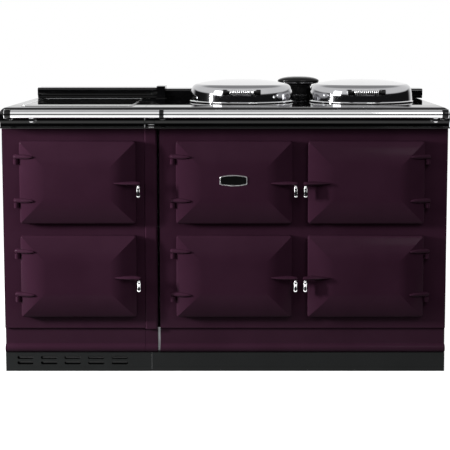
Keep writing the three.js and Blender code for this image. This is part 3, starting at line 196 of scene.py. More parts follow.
def build_polish(tree, given):
    """Plated or polished metal: fine rubbing marks along one direction, and finger smears."""
    where = given["Position"]
    drawn_out = put(tree, "ShaderNodeMapping", {"Vector": where, "Scale": given["Grain"]}).outputs["Vector"]
    rubbed = noise(tree, drawn_out, 1.0, 4.0, 0.6)
    smear = patches(tree, where, 14.0, 4.0, 0.45, 0.8)
    rough = calc(tree, "MULTIPLY_ADD", smear, given["Smear"], given["Gloss"])
    rough = calc(tree, "MULTIPLY_ADD", rubbed, given["Rub"], rough)
    colour = mixed(tree, calc(tree, "MULTIPLY", smear, 0.35), given["Colour"], given["Dull Colour"])
    return {"Colour": colour, "Roughness": rough, "Height": rubbed}


def build_cast(tree, given):
    """Sand-cast or heat-worn iron: coarse skin, pits and darker stains."""
    where = given["Position"]
    skin = noise(tree, where, given["Skin Scale"], 6.0, 0.65)
    stain = patches(tree, where, given["Stain Scale"], 4.0, 0.38, 0.7)
    colour = mixed(tree, stain, given["Colour"], given["Stain Colour"])
    pit = spread(tree, cells(tree, where, PIT_CELLS), 0.05, 0.2, 1.0, 0.0)
    colour = mixed(tree, calc(tree, "MULTIPLY", pit, 0.4), colour, PIT_COLOUR)
    rough = calc(tree, "MULTIPLY_ADD", stain, given["Stain Rough"], given["Rough"])
    height = calc(tree, "SUBTRACT", skin, calc(tree, "MULTIPLY", pit, 0.5))
    return {"Colour": colour, "Roughness": rough, "Height": height}


def build_dust(tree, given):
    """Household dust that settles on faces that look up."""
    normal = axis_of(tree, put(tree, "ShaderNodeNewGeometry").outputs["Normal"], "Z")
    upward = spread(tree, normal, 0.6, 0.98, 0.0, 1.0)
    lint = spread(tree, noise(tree, given["Position"], 26.0, 6.0, 0.7), 0.4, 0.8, 0.2, 1.0)
    amount = calc(tree, "MULTIPLY", calc(tree, "MULTIPLY", upward, lint), given["Amount"])
    return {"Colour": mixed(tree, amount, given["Colour"], DUST_COLOUR),
            "Roughness": calc(tree, "MULTIPLY_ADD", amount, 0.4, given["Roughness"])}


enamel_skin = effect_group(
    "enamel_skin",
    [WHERE, ("Colour", "Color", (0.03, 0.01, 0.02, 1)), ("Thin Colour", "Color", (0.04, 0.015, 0.03, 1)),
     ("Flow Scale", "Float", 5.0), ("Pinholes", "Float", 0.3), ("Ripple Scale", "Float", 60.0),
     ("Smudge", "Float", 0.05), ("Gloss", "Float", 0.08)],
    SURFACE, build_enamel)
polish_marks = effect_group(
    "polish_marks",
    [WHERE, ("Colour", "Color", (0.8, 0.8, 0.82, 1)), ("Dull Colour", "Color", (0.6, 0.6, 0.62, 1)),
     ("Grain", "Vector", (60.0, 900.0, 900.0)), ("Smear", "Float", 0.04), ("Rub", "Float", 0.02),
     ("Gloss", "Float", 0.03)],
    SURFACE, build_polish)
cast_skin = effect_group(
    "cast_skin",
    [WHERE, ("Colour", "Color", (0.1, 0.1, 0.1, 1)), ("Stain Colour", "Color", (0.05, 0.045, 0.04, 1)),
     ("Skin Scale", "Float", 300.0), ("Stain Scale", "Float", 12.0), ("Rough", "Float", 0.5),
     ("Stain Rough", "Float", 0.15)],
    SURFACE, build_cast)
settled_dust = effect_group(
    "settled_dust",
    [WHERE, ("Colour", "Color", None), ("Roughness", "Float", 0.1), ("Amount", "Float", 0.05)],
    [("Colour", "Color"), ("Roughness", "Float")], build_dust)


# ---------------------------------------------------------------- materials
# Sizes in this section are in metres, as the materials read them.
SPECULAR = "Specular IOR Level"
ENAMEL_RELIEF, PLATED_RELIEF, CAST_RELIEF = 0.0004, 0.0002, 0.0004
TOP_FALL = 1.4  # degrees
TOP_FALL_STARTS, GLASS_FALL_STARTS = -0.166, -0.17
# Round each lid's centre the top's specular level drops: painted shade.
PAINTED_SHADE_CENTRES = ((0.056, 0.0255, 0), (0.480, 0.0255, 0))
PAINTED_SHADE_REACH, PAINTED_SHADE_EDGE = 0.21, 0.012
SHADED_SPECULAR, TOP_SPECULAR = 0.03, 0.5
LID_DOME_FOOT, LID_RIM_TOP = 0.9536, 0.8965
# The lid wall's plating is multiplied by this tone: painted shade for the wall's darker reflection.
LID_WALL_PAINTED_SHADE = (0.62, 0.62, 0.63, 1)
ZONE_RADII = (95 * MM, 75 * MM)


def start_material(name):
    made = bpy.data.materials.new(name)
    made.use_nodes = True
    tree = made.node_tree
    shader = tree.nodes["Principled BSDF"]
    where = put(tree, "ShaderNodeTexCoord").outputs["Object"]
    return made, tree, shader, where


def place_effect(tree, group, inputs):
    return put(tree, "ShaderNodeGroup", inputs, node_tree=group).outputs


def colour_surface(tree, shader, colour, rough):
    tree.links.new(colour, shader.inputs["Base Color"])
    tree.links.new(rough, shader.inputs["Roughness"])


def bump_surface(tree, carrier, height, strength, relief):
    """Lays a relief under the normal of a shader or of another bump."""
    bump = put(tree, "ShaderNodeBump", {"Height": height, "Strength": strength, "Distance": relief})
    tree.links.new(bump.outputs["Normal"], carrier.inputs["Normal"])


def finish_surface(tree, shader, out, bump, relief, dust=0.0, where=None):
    """Gives a shader the outputs of an effect, with dust over them where it is asked for."""
    colour, rough = out["Colour"], out["Roughness"]
    if dust:
        settled = place_effect(tree, settled_dust, {"Position": where, "Colour": colour,
                                                    "Roughness": rough, "Amount": dust})
        colour, rough = settled["Colour"], settled["Roughness"]
    colour_surface(tree, shader, colour, rough)
    bump_surface(tree, shader, out["Height"], bump, relief)


def enamel(name, colour, thin, gloss, specular, pinholes=0.3, ripple=0.15, dust=0.0, smudge=0.05):
    """Fired enamel, between its full colour and the one where it flowed thin."""
    made, tree, shader, where = start_material(name)
    shader.inputs[SPECULAR].default_value = specular
    out = place_effect(tree, enamel_skin, {
        "Position": where, "Colour": (*colour, 1), "Thin Colour": (*thin, 1),
        "Pinholes": pinholes, "Gloss": gloss, "Smudge": smudge})
    finish_surface(tree, shader, out, ripple, ENAMEL_RELIEF, dust, where)
    return made


def plated(name, colour, dull, gloss, grain, rub=0.02, smear=0.04, bump=0.02):
    """Bare or plated metal, rubbed along the axis with the least grain."""
    made, tree, shader, where = start_material(name)
    shader.inputs["Metallic"].default_value = 1.0
    out = place_effect(tree, polish_marks, {
        "Position": where, "Colour": (*colour, 1), "Dull Colour": (*dull, 1), "Grain": grain,
        "Rub": rub, "Smear": smear, "Gloss": gloss})
    finish_surface(tree, shader, out, bump, PLATED_RELIEF)
    return made


def cast(name, colour, stain, rough, metallic, skin=300.0, stains=12.0, bump=0.3, relief=CAST_RELIEF):
    made, tree, shader, where = start_material(name)
    shader.inputs["Metallic"].default_value = metallic
    out = place_effect(tree, cast_skin, {
        "Position": where, "Colour": (*colour, 1), "Stain Colour": (*stain, 1),
        "Skin Scale": skin, "Stain Scale": stains, "Rough": rough})
    finish_surface(tree, shader, out, bump, relief)
    return made


def fall_to_the_nose(material, start):
    """The top falls a little from this line to its front edge, as castings do."""
    tree = material.node_tree
    shader = tree.nodes["Principled BSDF"]
    carrier = next((node for node in tree.nodes if node.type == "BUMP"), shader)
    along = axis_of(tree, place_on(tree), "Y")
    ahead = calc(tree, "MINIMUM", calc(tree, "SUBTRACT", along, start), 0.0)
    height = calc(tree, "MULTIPLY", ahead, math.tan(math.radians(TOP_FALL)))
    bump_surface(tree, carrier, height, 1.0, 1.0)


def shade_before_lids(material):
    """Painted shade: the top's specular level is low out to a set reach from each lid's centre, standing in
    for the dark band that lies on the top under each lid's rim.
    """
    tree = material.node_tree
    where = place_on(tree)
    near = None
    for centre in PAINTED_SHADE_CENTRES:
        reach = reach_from(tree, where, centre)
        near = reach if near is None else calc(tree, "MINIMUM", near, reach)
    level = spread(tree, near, PAINTED_SHADE_REACH, PAINTED_SHADE_REACH + PAINTED_SHADE_EDGE,
                   SHADED_SPECULAR, TOP_SPECULAR)
    tree.links.new(level, tree.nodes["Principled BSDF"].inputs[SPECULAR])


def paint_wall_shade(material):
    """Painted shade: the lid's wall has its plating colour darkened against its dome and its rim, standing
    in for the darker reflection the wall shows.
    """
    tree = material.node_tree
    base = tree.nodes["Principled BSDF"].inputs["Base Color"]
    height = axis_of(tree, place_on(tree), "Z")
    below_dome = spread(tree, height, LID_DOME_FOOT - 0.0012, LID_DOME_FOOT + 0.0004, 1.0, 0.0)
    above_rim = spread(tree, height, LID_RIM_TOP, LID_RIM_TOP + 0.001, 0.0, 1.0)
    wall = calc(tree, "MULTIPLY", below_dome, above_rim)
    plating = base.links[0].from_socket
    wall_in_painted_shade = mixed(tree, 1.0, plating, LID_WALL_PAINTED_SHADE, "MULTIPLY")
    tree.links.new(mixed(tree, wall, plating, wall_in_painted_shade), base)


def build_glass():
    """Black ceramic glass with a fine printed dot screen and faint cooking-zone rings."""
    made, tree, shader, where = start_material("hob_glass")
    low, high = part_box("hob_glass")
    middle = (low + high) / 2
    depth = high.y - low.y
    zones = []
    for offset, radius in zip((-depth / 4, depth / 4), ZONE_RADII):
        reach = reach_from(tree, where, (middle.x, middle.y + offset, high.z))
        band = calc(tree, "ABSOLUTE", calc(tree, "SUBTRACT", reach, radius))
        zones.append(spread(tree, band, 0.0006, 0.0011, 1.0, 0.0))
    ring = calc(tree, "MAXIMUM", *zones)
    screen = spread(tree, cells(tree, where, 380.0, randomness=0.0), 0.18, 0.26, 0.35, 0.0)
    colour = mixed(tree, screen, (0.0025, 0.0025, 0.003, 1), (0.008, 0.008, 0.009, 1))
    colour = mixed(tree, ring, colour, (0.09, 0.09, 0.09, 1))
    smear = spread(tree, noise(tree, where, 11.0, 5.0, 0.6), 0.4, 0.8, 0.015, 0.04)
    colour_surface(tree, shader, colour, smear)
    return made


def build_knob_plastic():
    """Moulded black plastic with a fine grain, polished by fingers in places."""
    made, tree, shader, where = start_material("knob_plastic")
    worn = patches(tree, where, 30.0, 4.0, 0.45, 0.75)
    colour = mixed(tree, worn, (0.012, 0.012, 0.012, 1), (0.02, 0.02, 0.02, 1))
    colour_surface(tree, shader, colour, spread(tree, worn, 0.0, 1.0, 0.42, 0.3))
    bump_surface(tree, shader, noise(tree, where, 900.0, 3.0, 0.6), 0.2, 0.0002)
    return made


def build_marking():
    """Fired white marking of the dial, slightly worn."""
    made, tree, shader, where = start_material("dial_marking")
    worn = patches(tree, where, 120.0, 5.0, 0.4, 0.75)
    colour = mixed(tree, worn, (0.7, 0.7, 0.68, 1), (0.45, 0.44, 0.42, 1))
    colour_surface(tree, shader, colour, spread(tree, worn, 0.0, 1.0, 0.3, 0.5))
    return made


aubergine = enamel("aubergine_enamel", (0.034, 0.0115, 0.0235), (0.04, 0.014, 0.028),
                   gloss=0.16, specular=0.02)
black_top = enamel("black_top_enamel", (0.0014, 0.0014, 0.0016), (0.0024, 0.0024, 0.0026),
                   gloss=0.035, specular=TOP_SPECULAR, pinholes=0.0, ripple=0.012, smudge=0.02)
fall_to_the_nose(black_top, TOP_FALL_STARTS)
# Painted shade round each lid.
shade_before_lids(black_top)
black_fittings = enamel("black_fittings_enamel", (0.004, 0.004, 0.0042), (0.007, 0.007, 0.0072),
                        gloss=0.14, specular=0.22)
plinth_enamel = enamel("plinth_enamel", (0.0085, 0.0095, 0.0095), (0.0105, 0.0117, 0.0117),
                       gloss=0.36, specular=0.12, pinholes=0.5, dust=0.02, smudge=0.12)
chrome_lid = plated("chrome_lid", (0.82, 0.82, 0.83), (0.66, 0.66, 0.68),
                    gloss=0.05, grain=(14.0, 14.0, 900.0))
# Painted shade on the wall of each lid.
paint_wall_shade(chrome_lid)
chrome_rail = plated("chrome_rail", (0.84, 0.84, 0.85), (0.68, 0.68, 0.7),
                     gloss=0.04, grain=(30.0, 900.0, 900.0))
chrome_fittings = plated("chrome_fittings", (0.84, 0.84, 0.85), (0.66, 0.66, 0.68),
                         gloss=0.05, grain=(700.0, 700.0, 60.0))
coil_wire = plated("coil_wire", (0.92, 0.92, 0.93), (0.78, 0.78, 0.8),
                   gloss=0.26, grain=(400.0, 400.0, 400.0), rub=0.08)
hob_trim = plated("hob_trim", (0.7, 0.7, 0.71), (0.6, 0.6, 0.62),
                  gloss=0.12, grain=(60.0, 900.0, 900.0), rub=0.03, bump=0.0)
galvanised = plated("galvanised_sheet", (0.36, 0.37, 0.38), (0.24, 0.25, 0.26),
                    gloss=0.34, grain=(7.0, 7.0, 60.0), rub=0.16, smear=0.12, bump=0.08)
aluminised = plated("aluminised_lining", (0.4, 0.4, 0.41), (0.25, 0.24, 0.23),
                    gloss=0.36, grain=(300.0, 300.0, 20.0), rub=0.12, smear=0.16, bump=0.12)
shelf_wire = plated("shelf_wire", (0.5, 0.5, 0.5), (0.3, 0.29, 0.27),
                    gloss=0.22, grain=(200.0, 30.0, 200.0), rub=0.1)
oven_iron = cast("oven_iron", (0.035, 0.034, 0.034), (0.018, 0.016, 0.015), rough=0.55, metallic=0.35)
flue_iron = cast("flue_iron", (0.04, 0.038, 0.037), (0.03, 0.02, 0.014), rough=0.65, metallic=0.3,
                 skin=200.0)
hotplate_iron = cast("hotplate_iron", (0.1, 0.1, 0.102), (0.05, 0.045, 0.04), rough=0.34,
                     metallic=0.85, skin=500.0, stains=9.0, bump=0.15, relief=0.0003)
hob_glass = build_glass()
fall_to_the_nose(hob_glass, GLASS_FALL_STARTS)
knob_plastic = build_knob_plastic()
dial_marking = build_marking()


# ---------------------------------------------------------------- piece helpers
WELD = 0.02 * MM
FLAT_WITHIN, EASED_FROM = 0.5, 32  # degrees


def settle(name, bm, material, body, nodes=(), sharp=35, unit=MM):
    """Makes a finished piece of a bmesh that already lies in place, drawn in the given unit."""
    bmesh.ops.scale(bm, vec=(unit, unit, unit), verts=bm.verts)
    bmesh.ops.recalc_face_normals(bm, faces=bm.faces)
    mesh = bpy.data.meshes.new(name)
    bm.to_mesh(mesh)
    bm.free()
    mesh.shade_smooth()
    mesh.set_sharp_from_angle(angle=math.radians(sharp))
    piece = bpy.data.objects.new(name, mesh)
    bpy.context.scene.collection.objects.link(piece)
    mesh.materials.append(material)
    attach(piece, body)
    if nodes:
        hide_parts(*nodes)
    return piece


def body_of(node):
    """The moving body that a solid belongs to."""
    return frame["nodes"][node]["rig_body"]


def round_edges(piece, width, segments, angle):
    bevel = piece.modifiers.new("eased_edges", "BEVEL")
    bevel.width = width * MM
    bevel.segments = segments
    bevel.limit_method = "ANGLE"
    bevel.angle_limit = math.radians(angle)
    weighted = piece.modifiers.new("flat_faces", "WEIGHTED_NORMAL")
    weighted.keep_sharp = True
    weighted.weight = 90


def eased(node, material, width, segments=2):
    """A copy of a solid with the eased edges and smooth curves of the real piece."""
    bm = bmesh.new()
    bm.from_mesh(frame["nodes"][node].data)
    bmesh.ops.remove_doubles(bm, verts=bm.verts, dist=WELD)
    bmesh.ops.dissolve_limit(bm, angle_limit=math.radians(FLAT_WITHIN), verts=bm.verts, edges=bm.edges)
    piece = settle(f"{node}_piece", bm, material, body_of(node), [node],
                   sharp=180, unit=1)
    round_edges(piece, width, segments, EASED_FROM)
    return piece


def keep_lines_crisp(piece, heights):
    """Marks the level edges at these heights, so that the faces between them stay flat."""
    bm = bmesh.new()
    bm.from_mesh(piece.data)
    for edge in bm.edges:
        if all(min(abs(vert.co.z / MM - height) for height in heights) < 0.1 for vert in edge.verts):
            edge.smooth = False
    bm.to_mesh(piece.data)
    bm.free()


def bevel_edges(bm, edges, offset, segments):
    bmesh.ops.bevel(bm, geom=edges, offset=offset, segments=segments, profile=0.5, affect="EDGES",
                    material=-1)


def edges_of(verts):
    return list({edge for vert in verts for edge in vert.link_edges})


def run_along(edge, axis):
    """How far an edge runs along X (0), Y (1) or Z (2)."""
    return abs(edge.verts[0].co[axis] - edge.verts[1].co[axis])


def spun(bm, profile, steps, axis="Z", centre=(0, 0, 0)):
    """Turns a profile of (radius, along) pairs round an axis through centre."""
    turn = {"Z": Vector((0, 0, 1)), "X": Vector((1, 0, 0)), "Y": Vector((0, 1, 0))}[axis]
    across = {"Z": Vector((1, 0, 0)), "X": Vector((0, 0, 1)), "Y": Vector((1, 0, 0))}[axis]
    middle = Vector(centre)
    verts = [bm.verts.new(middle + across * radius + turn * along) for radius, along in profile]
    edges = [bm.edges.new(pair) for pair in zip(verts, verts[1:])]
    bmesh.ops.spin(bm, geom=verts + edges, cent=middle, axis=turn, angle=math.tau, steps=steps,
                   use_merge=True)
    bmesh.ops.remove_doubles(bm, verts=bm.verts, dist=0.001)


def block(bm, low, high, ease=0.0, segments=2):
    """A block between two corners, with all its edges eased."""
    made = bmesh.ops.create_cube(bm, size=1)["verts"]
    size = Vector(high) - Vector(low)
    bmesh.ops.scale(bm, vec=size, verts=made)
    bmesh.ops.translate(bm, vec=(Vector(high) + Vector(low)) / 2, verts=made)
    if ease:
        bevel_edges(bm, edges_of(made), ease, segments)


def rod(bm, start, end, radius, sides=16, ease=0.0):
    """A round bar between two points, with eased ends."""
    start, end = Vector(start), Vector(end)
    along = end - start
    turn = along.to_track_quat("Z", "Y").to_matrix().to_4x4()
    place = Matrix.Translation((start + end) / 2) @ turn
    made = bmesh.ops.create_cone(bm, cap_ends=True, segments=sides, radius1=radius, radius2=radius,
                                 depth=along.length, matrix=place)["verts"]
    if ease:
        ends = {face for vert in made for face in vert.link_faces if len(face.verts) == sides}
        bevel_edges(bm, list({edge for face in ends for edge in face.edges}), ease, 2)


def lofted(bm, stations, sides, across="X"):
    """Round sections bridged one after another. A station is (centre, half depth, half height)."""
    turn = Matrix.Rotation(math.radians(90), 4, "Y") if across == "X" else Matrix.Identity(4)
    last = None
    for i, (centre, half_a, half_b) in enumerate(stations):
        capped = i in (0, len(stations) - 1)
        verts = bmesh.ops.create_circle(bm, cap_ends=capped, segments=sides, radius=1)["verts"]
        halves = (half_b, half_a, 1, 1) if across == "X" else (half_a, half_b, 1, 1)
        place = Matrix.Translation(centre) @ turn @ Matrix.Diagonal(halves)
        bmesh.ops.transform(bm, matrix=place, verts=verts)
        loop = [edge for edge in edges_of(verts) if all(end in verts for end in edge.verts)]
        if last:
            bmesh.ops.bridge_loops(bm, edges=last + loop)
        last = loop


def turned_piece(name, profile, steps, axis, centre, material, nodes=(), body="range", sharp=40):
    """A piece that is one profile turned round one axis."""
    bm = bmesh.new()
    spun(bm, profile, steps, axis, centre)
    settle(name, bm, material, body, nodes, sharp)


def block_piece(name, low, high, ease, segments, material):
    """A small piece that is one eased block."""
    bm = bmesh.new()
    block(bm, low, high, ease, segments)
    settle(name, bm, material, "range", sharp=40)


# ---------------------------------------------------------------- sizes shared with the solids
DOOR_W, DOOR_H = 384, 274
DOOR_EDGE_T, DOOR_CROWN, DOOR_SLOPE, DOOR_SEAL = 22, 45, 88, 1.5
HINGE_OFFSET, HINGE_STANDOFF = 10.5, 20
ARM_HEIGHTS = (86, -59)
PANEL_Y = -279.5
HOB_Z = 890
RAIL_Y, RAIL_Z = -365, 871
FASCIA_Y = -317.5
FASCIA_LINES = (838, 826, 823)
DOORS = (  # name, middle x, middle z, side of the hinge
    ("warming_oven", -485, 641, -1), ("slow_oven", -485, 327, -1), ("control", 30.7, 641, -1),
    ("simmering_oven", 30.7, 327, -1), ("roasting_oven", 466.7, 641, 1), ("baking_oven", 466.7, 327, 1),
)
LIDS = (("boiling", 56), ("simmering", 480))
LID_Y = 59.5


# ---------------------------------------------------------------- doors
CROWN_STEPS = 14
DOOR_CORNER_R, DOOR_RIM_R = 9, 2.6
PIN_R, PIN_TOP, PIN_FOOT = 4.0, 7, 21
GRIP_OUT, GRIP_AHEAD, GRIP_DROP = 10, 54, 7.3
HANDLE_BAR = (  # past the door's edge, front, back, half height
    (-71, 48, 41, 1.6), (-66, 50, 39, 2.6), (-50, 55, 37, 4.4), (-28, 60.5, 31, 6.6),
    (-14, 61.5, 22, 7.0), (-4, 61.5, 26, 7.0), (3, 61.5, 45, 6.6), (10, 61.5, 46, 6.2),
    (15, 60.5, 47, 5.4), (17, 58, 50, 3.4),
)
HINGE_ARM = (  # past the door's edge, front, back, half height
    (-48, 45, 37, 2.4), (-44, 46, 35, 4.0), (-34, 44.5, 31, 6.0), (-20, 41, 24, 7.4),
    (-8, 37, 15, 8.0), (2, 33.5, 10.5, 8.0), (10, 30.5, 9.8, 8.0), (15, 28.4, 11.8, 7.4),
    (19, 24.6, 15.6, 5.0), (20.3, 22, 18, 2.4),
)
GRIP = (  # radius, distance below its top
    (0, 0), (4.6, 0), (5, 0.6), (5, 3.4), (4.6, 4), (5.8, 4.2), (6.7, 5.2), (7, 7), (6.9, 11),
    (6.3, 16), (6.0, 20.5), (6.3, 25), (6.9, 30), (7, 33.5), (6.6, 35.6), (5.4, 36.8), (0, 37),
)


def crown_at(inset):
    """How far the door stands out at this distance from its edge."""
    run = min(inset / DOOR_SLOPE, 1)
    return DOOR_EDGE_T + (DOOR_CROWN - DOOR_EDGE_T) * (1 - (1 - run) ** 2)


def crowned_shell(bm):
    """The door casting: upright edges, then four curved slopes that meet in mitred ridges."""
    block(bm, (-DOOR_W / 2, -DOOR_EDGE_T, -DOOR_H / 2), (DOOR_W / 2, -DOOR_SEAL, DOOR_H / 2))
    field = next(face for face in bm.faces if face.normal.y < -0.9)
    for step in range(CROWN_STEPS):
        inset, reach = DOOR_SLOPE * step / CROWN_STEPS, DOOR_SLOPE * (step + 1) / CROWN_STEPS
        bmesh.ops.inset_region(bm, faces=[field], thickness=reach - inset,
                               depth=crown_at(reach) - crown_at(inset), use_even_offset=True)
    corners = [edge for edge in bm.edges
               if run_along(edge, 1) > DOOR_EDGE_T / 2 and run_along(edge, 0) < 0.01]
    bevel_edges(bm, corners, DOOR_CORNER_R, 6)
    rim = [edge for edge in bm.edges if all(abs(vert.co.y + DOOR_EDGE_T) < 0.2 for vert in edge.verts)
           and any(abs(face.normal.y) < 0.2 for face in edge.link_faces)]
    bevel_edges(bm, rim, DOOR_RIM_R, 3)


def keep_mitres_crisp(piece, x, z):
    """Marks the ridges, where the distances to two edges of the door are the same."""
    points = [vert.co / MM for vert in piece.data.vertices]
    lean = [DOOR_W / 2 - abs(point.x - x) - (DOOR_H / 2 - abs(point.z - z)) for point in points]
    for edge in piece.data.edges:
        a, b = edge.vertices
        if abs(lean[a]) < 0.3 and abs(lean[b]) < 0.3 and abs(points[a].x - points[b].x) > 1:
            edge.use_edge_sharp = True


def swelling_bar(bm, stations, out, height):
    """A bar that rises from the door's slope, swells and runs out past the door's edge."""
    lofted(bm, [((out * DOOR_W / 2 + out * along, -(front + back) / 2, height), (front - back) / 2, half)
                for along, front, back, half in stations], 20)


def build_doors():
    for name, x, z, hinge in DOORS:
        body = f"{name}_door"
        bm = bmesh.new()
        crowned_shell(bm)
        swelling_bar(bm, HANDLE_BAR, -hinge, 0)
        axis = hinge * DOOR_W / 2 + hinge * HINGE_OFFSET
        for height in ARM_HEIGHTS:
            swelling_bar(bm, HINGE_ARM, hinge, height)
            rod(bm, (axis, -HINGE_STANDOFF, height - PIN_FOOT), (axis, -HINGE_STANDOFF, height - PIN_TOP),
                PIN_R)
        bmesh.ops.translate(bm, vec=(x, PANEL_Y, z), verts=bm.verts)
        piece = settle(f"{name}_door_casting", bm, aubergine, body,
                       [f"{name}_door"], sharp=32)
        keep_mitres_crisp(piece, x, z)
        grip_at = (x - hinge * (DOOR_W / 2 + GRIP_OUT), PANEL_Y - GRIP_AHEAD, 0)
        profile = [(radius, z - GRIP_DROP - drop) for radius, drop in GRIP]
        turned_piece(f"{name}_door_grip_piece", profile, 40, "Z", grip_at, chrome_fittings,
                     [f"{name}_door_grip"], body, 50)
        if name != "control":
            eased(f"{name}_door_liner", aluminised, 2.5)


# ---------------------------------------------------------------- lids, handles and hotplates
LID_SEAT = HOB_Z + 2
LID_R = 186
DOME_R, DOME_FOOT, DOME_RISE, DOME_POWER, DOME_STEPS = 160, 61.6, 15.4, 2.6, 16
LID_WALL = (  # radius, height over the seat
    (163, 60.6), (166.4, 59), (169.6, 56.9), (172.6, 54), (175, 50.6), (176.9, 46.8), (178.5, 42.4),
    (179.7, 37.6), (180.6, 32), (181.2, 26), (181.7, 20), (182.1, 14), (182.4, 9), (182.6, 4.5),
)
LID_LIP = (
    (183.4, 3.7), (184.6, 3.4), (185.6, 2.8), (186, 2), (186, 0.6), (185.4, 0), (178, 0), (174, 8),
    (0, 10),
)
LID_HINGE_BEHIND, LID_HINGE_Z = 20, 915
LID_KNUCKLE_HALF, LID_KNUCKLE_R, LID_PIN_HALF, LID_PIN_R = 22, 9, 34, 4
LID_LUG_FOOT, LID_LUG_TOP, LID_LUG_ROOT = 909, 924, 8
COIL_TURNS, COIL_PITCH, COIL_R, COIL_WIRE_R, COIL_STEPS = 13, 6.5, 8.0, 1.9, 28
COIL_AHEAD, COIL_Z = 208, 931
HOTPLATE = (  # radius, height
    (0, 891), (169, 891), (170.6, 890.8), (171.7, 890), (172, 889), (172, 877.7), (184, 877.7),
    (184, 869.7), (172, 850), (0, 850),
)


def lid_profile():
    turns = [math.sin(k / DOME_STEPS * math.pi / 2) for k in range(DOME_STEPS + 1)]
    dome = [(DOME_R * turn, DOME_FOOT + DOME_RISE * (1 - turn ** DOME_POWER)) for turn in turns]
    return [(radius, LID_SEAT + height) for radius, height in [*dome, *LID_WALL, *LID_LIP]]


def build_lids():
    for name, x in LIDS:
        bm = bmesh.new()
        spun(bm, lid_profile(), 160, "Z", (x, LID_Y, 0))
        back = LID_Y + LID_R
        pivot = back + LID_HINGE_BEHIND
        block(bm, (x - LID_KNUCKLE_HALF, back - LID_LUG_ROOT, LID_LUG_FOOT),
              (x + LID_KNUCKLE_HALF, pivot, LID_LUG_TOP), 1.5)
        rod(bm, (x - LID_KNUCKLE_HALF, pivot, LID_HINGE_Z), (x + LID_KNUCKLE_HALF, pivot, LID_HINGE_Z),
            LID_KNUCKLE_R, 32, 1)
        rod(bm, (x - LID_PIN_HALF, pivot, LID_HINGE_Z), (x + LID_PIN_HALF, pivot, LID_HINGE_Z),
            LID_PIN_R, 20, 0.5)
        settle(f"{name}_lid_shell", bm, chrome_lid, f"{name}_lid", [f"{name}_lid"], sharp=40)
        eased(f"{name}_lid_handle", black_fittings, 1.5, 3)
        build_coil(name, x)


def build_coil(name, x):
    """One wire wound round the handle rod, with closed ends."""
    middle = Vector((x, LID_Y - COIL_AHEAD, COIL_Z))
    start = Vector((middle.x - COIL_TURNS * COIL_PITCH / 2, middle.y + COIL_R, middle.z))
    lean = math.atan2(COIL_PITCH, math.tau * COIL_R)
    place = Matrix.Translation(start) @ Matrix.Rotation(lean, 4, "Y")
    bm = bmesh.new()
    ring = bmesh.ops.create_circle(bm, cap_ends=False, segments=10, radius=COIL_WIRE_R,
                                   matrix=place)["verts"]
    bmesh.ops.spin(bm, geom=ring + edges_of(ring), cent=middle, axis=(1, 0, 0),
                   dvec=(COIL_PITCH / COIL_STEPS, 0, 0), angle=math.tau * COIL_TURNS,
                   steps=COIL_TURNS * COIL_STEPS)
    bmesh.ops.holes_fill(bm, edges=[edge for edge in bm.edges if len(edge.link_faces) == 1], sides=12)
    settle(f"{name}_lid_coil_wire", bm, coil_wire, f"{name}_lid", [f"{name}_lid_coil"], sharp=60)


def build_hotplates():
    for name, x in LIDS:
        node = f"{name}_plate"
        turned_piece(f"{node}_disc", HOTPLATE, 128, "Z", (x, LID_Y, 0), hotplate_iron,
                     [node], body_of(node))


# ---------------------------------------------------------------- rails
RAILS = (("left_rail", -689.7, -209.8), ("right_rail", -196.2, 701.7))  # node, its two ends
RAIL_R, RAIL_BORE_R, RAIL_CHAMFER = 13.5, 10.5, 0.6
BRACKETS = (  # node, middle x, width
    ("left_rail_bracket", -700, 20), ("middle_rail_bracket", -203, 13), ("right_rail_bracket", 712, 20),
)
BRACKET_ARM_Z, BRACKET_ARM_R, BRACKET_ARM_BACK = RAIL_Z - 12, 7, -318.2
SPIGOT_R, SPIGOT_REACH = 10.2, 10
ROSETTE = (  # radius, y
    (0, -317.8), (10.6, -317.8), (11, -318.4), (10.6, -320.8), (9, -322.4), (0, -322.6),
)
BOSSES = (("left", -626), ("right", 684))
BOSS_Z = 851
BOSS = (  # radius, distance behind the fascia
    (0, 3), (12.4, 3), (13, 2), (13, -3), (12.2, -5), (9.6, -9), (8, -16), (7.6, -26), (8.4, -34),
    (0, -36),
)
RINGS = (("left", -710, -1), ("right", 722, 1))
RING = (  # radius, distance outwards
    (15.4, -1.8), (16, -1.4), (16.2, 0), (15.8, 0.6), (14.6, 1), (12, 0.9), (12, -1.8), (15.4, -1.8),
)


def build_rails():
    for node, x0, x1 in RAILS:
        lip = RAIL_R - RAIL_CHAMFER
        tube = [(RAIL_BORE_R, x0), (lip, x0), (RAIL_R, x0 + RAIL_CHAMFER), (RAIL_R, x1 - RAIL_CHAMFER),
                (lip, x1), (RAIL_BORE_R, x1), (RAIL_BORE_R, x0)]
        turned_piece(f"{node}_tube", tube, 64, "X", (0, RAIL_Y, RAIL_Z), chrome_rail, [node])
    for node, x, width in BRACKETS:
        half = width / 2
        bm = bmesh.new()
        spun(bm, [(0, -half), (13, -half), (15, -half + 1), (15.5, -half + 2.4), (15.5, half - 2.4),
                  (15, half - 1), (13, half), (0, half)], 48, "X", (x, RAIL_Y, RAIL_Z))
        if node != "left_rail_bracket":
            rod(bm, (x - half - SPIGOT_REACH, RAIL_Y, RAIL_Z), (x, RAIL_Y, RAIL_Z), SPIGOT_R, 32, 0.8)
        if node != "right_rail_bracket":
            rod(bm, (x, RAIL_Y, RAIL_Z), (x + half + SPIGOT_REACH, RAIL_Y, RAIL_Z), SPIGOT_R, 32, 0.8)
        rod(bm, (x, RAIL_Y + 4, BRACKET_ARM_Z), (x, BRACKET_ARM_BACK, BRACKET_ARM_Z),
            min(BRACKET_ARM_R, half), 32, 0.5)
        settle(f"{node}_piece", bm, black_fittings, "range", [node], sharp=40)
        turned_piece(f"{node}_rosette", ROSETTE, 40, "Y", (x, 0, BRACKET_ARM_Z), chrome_fittings)


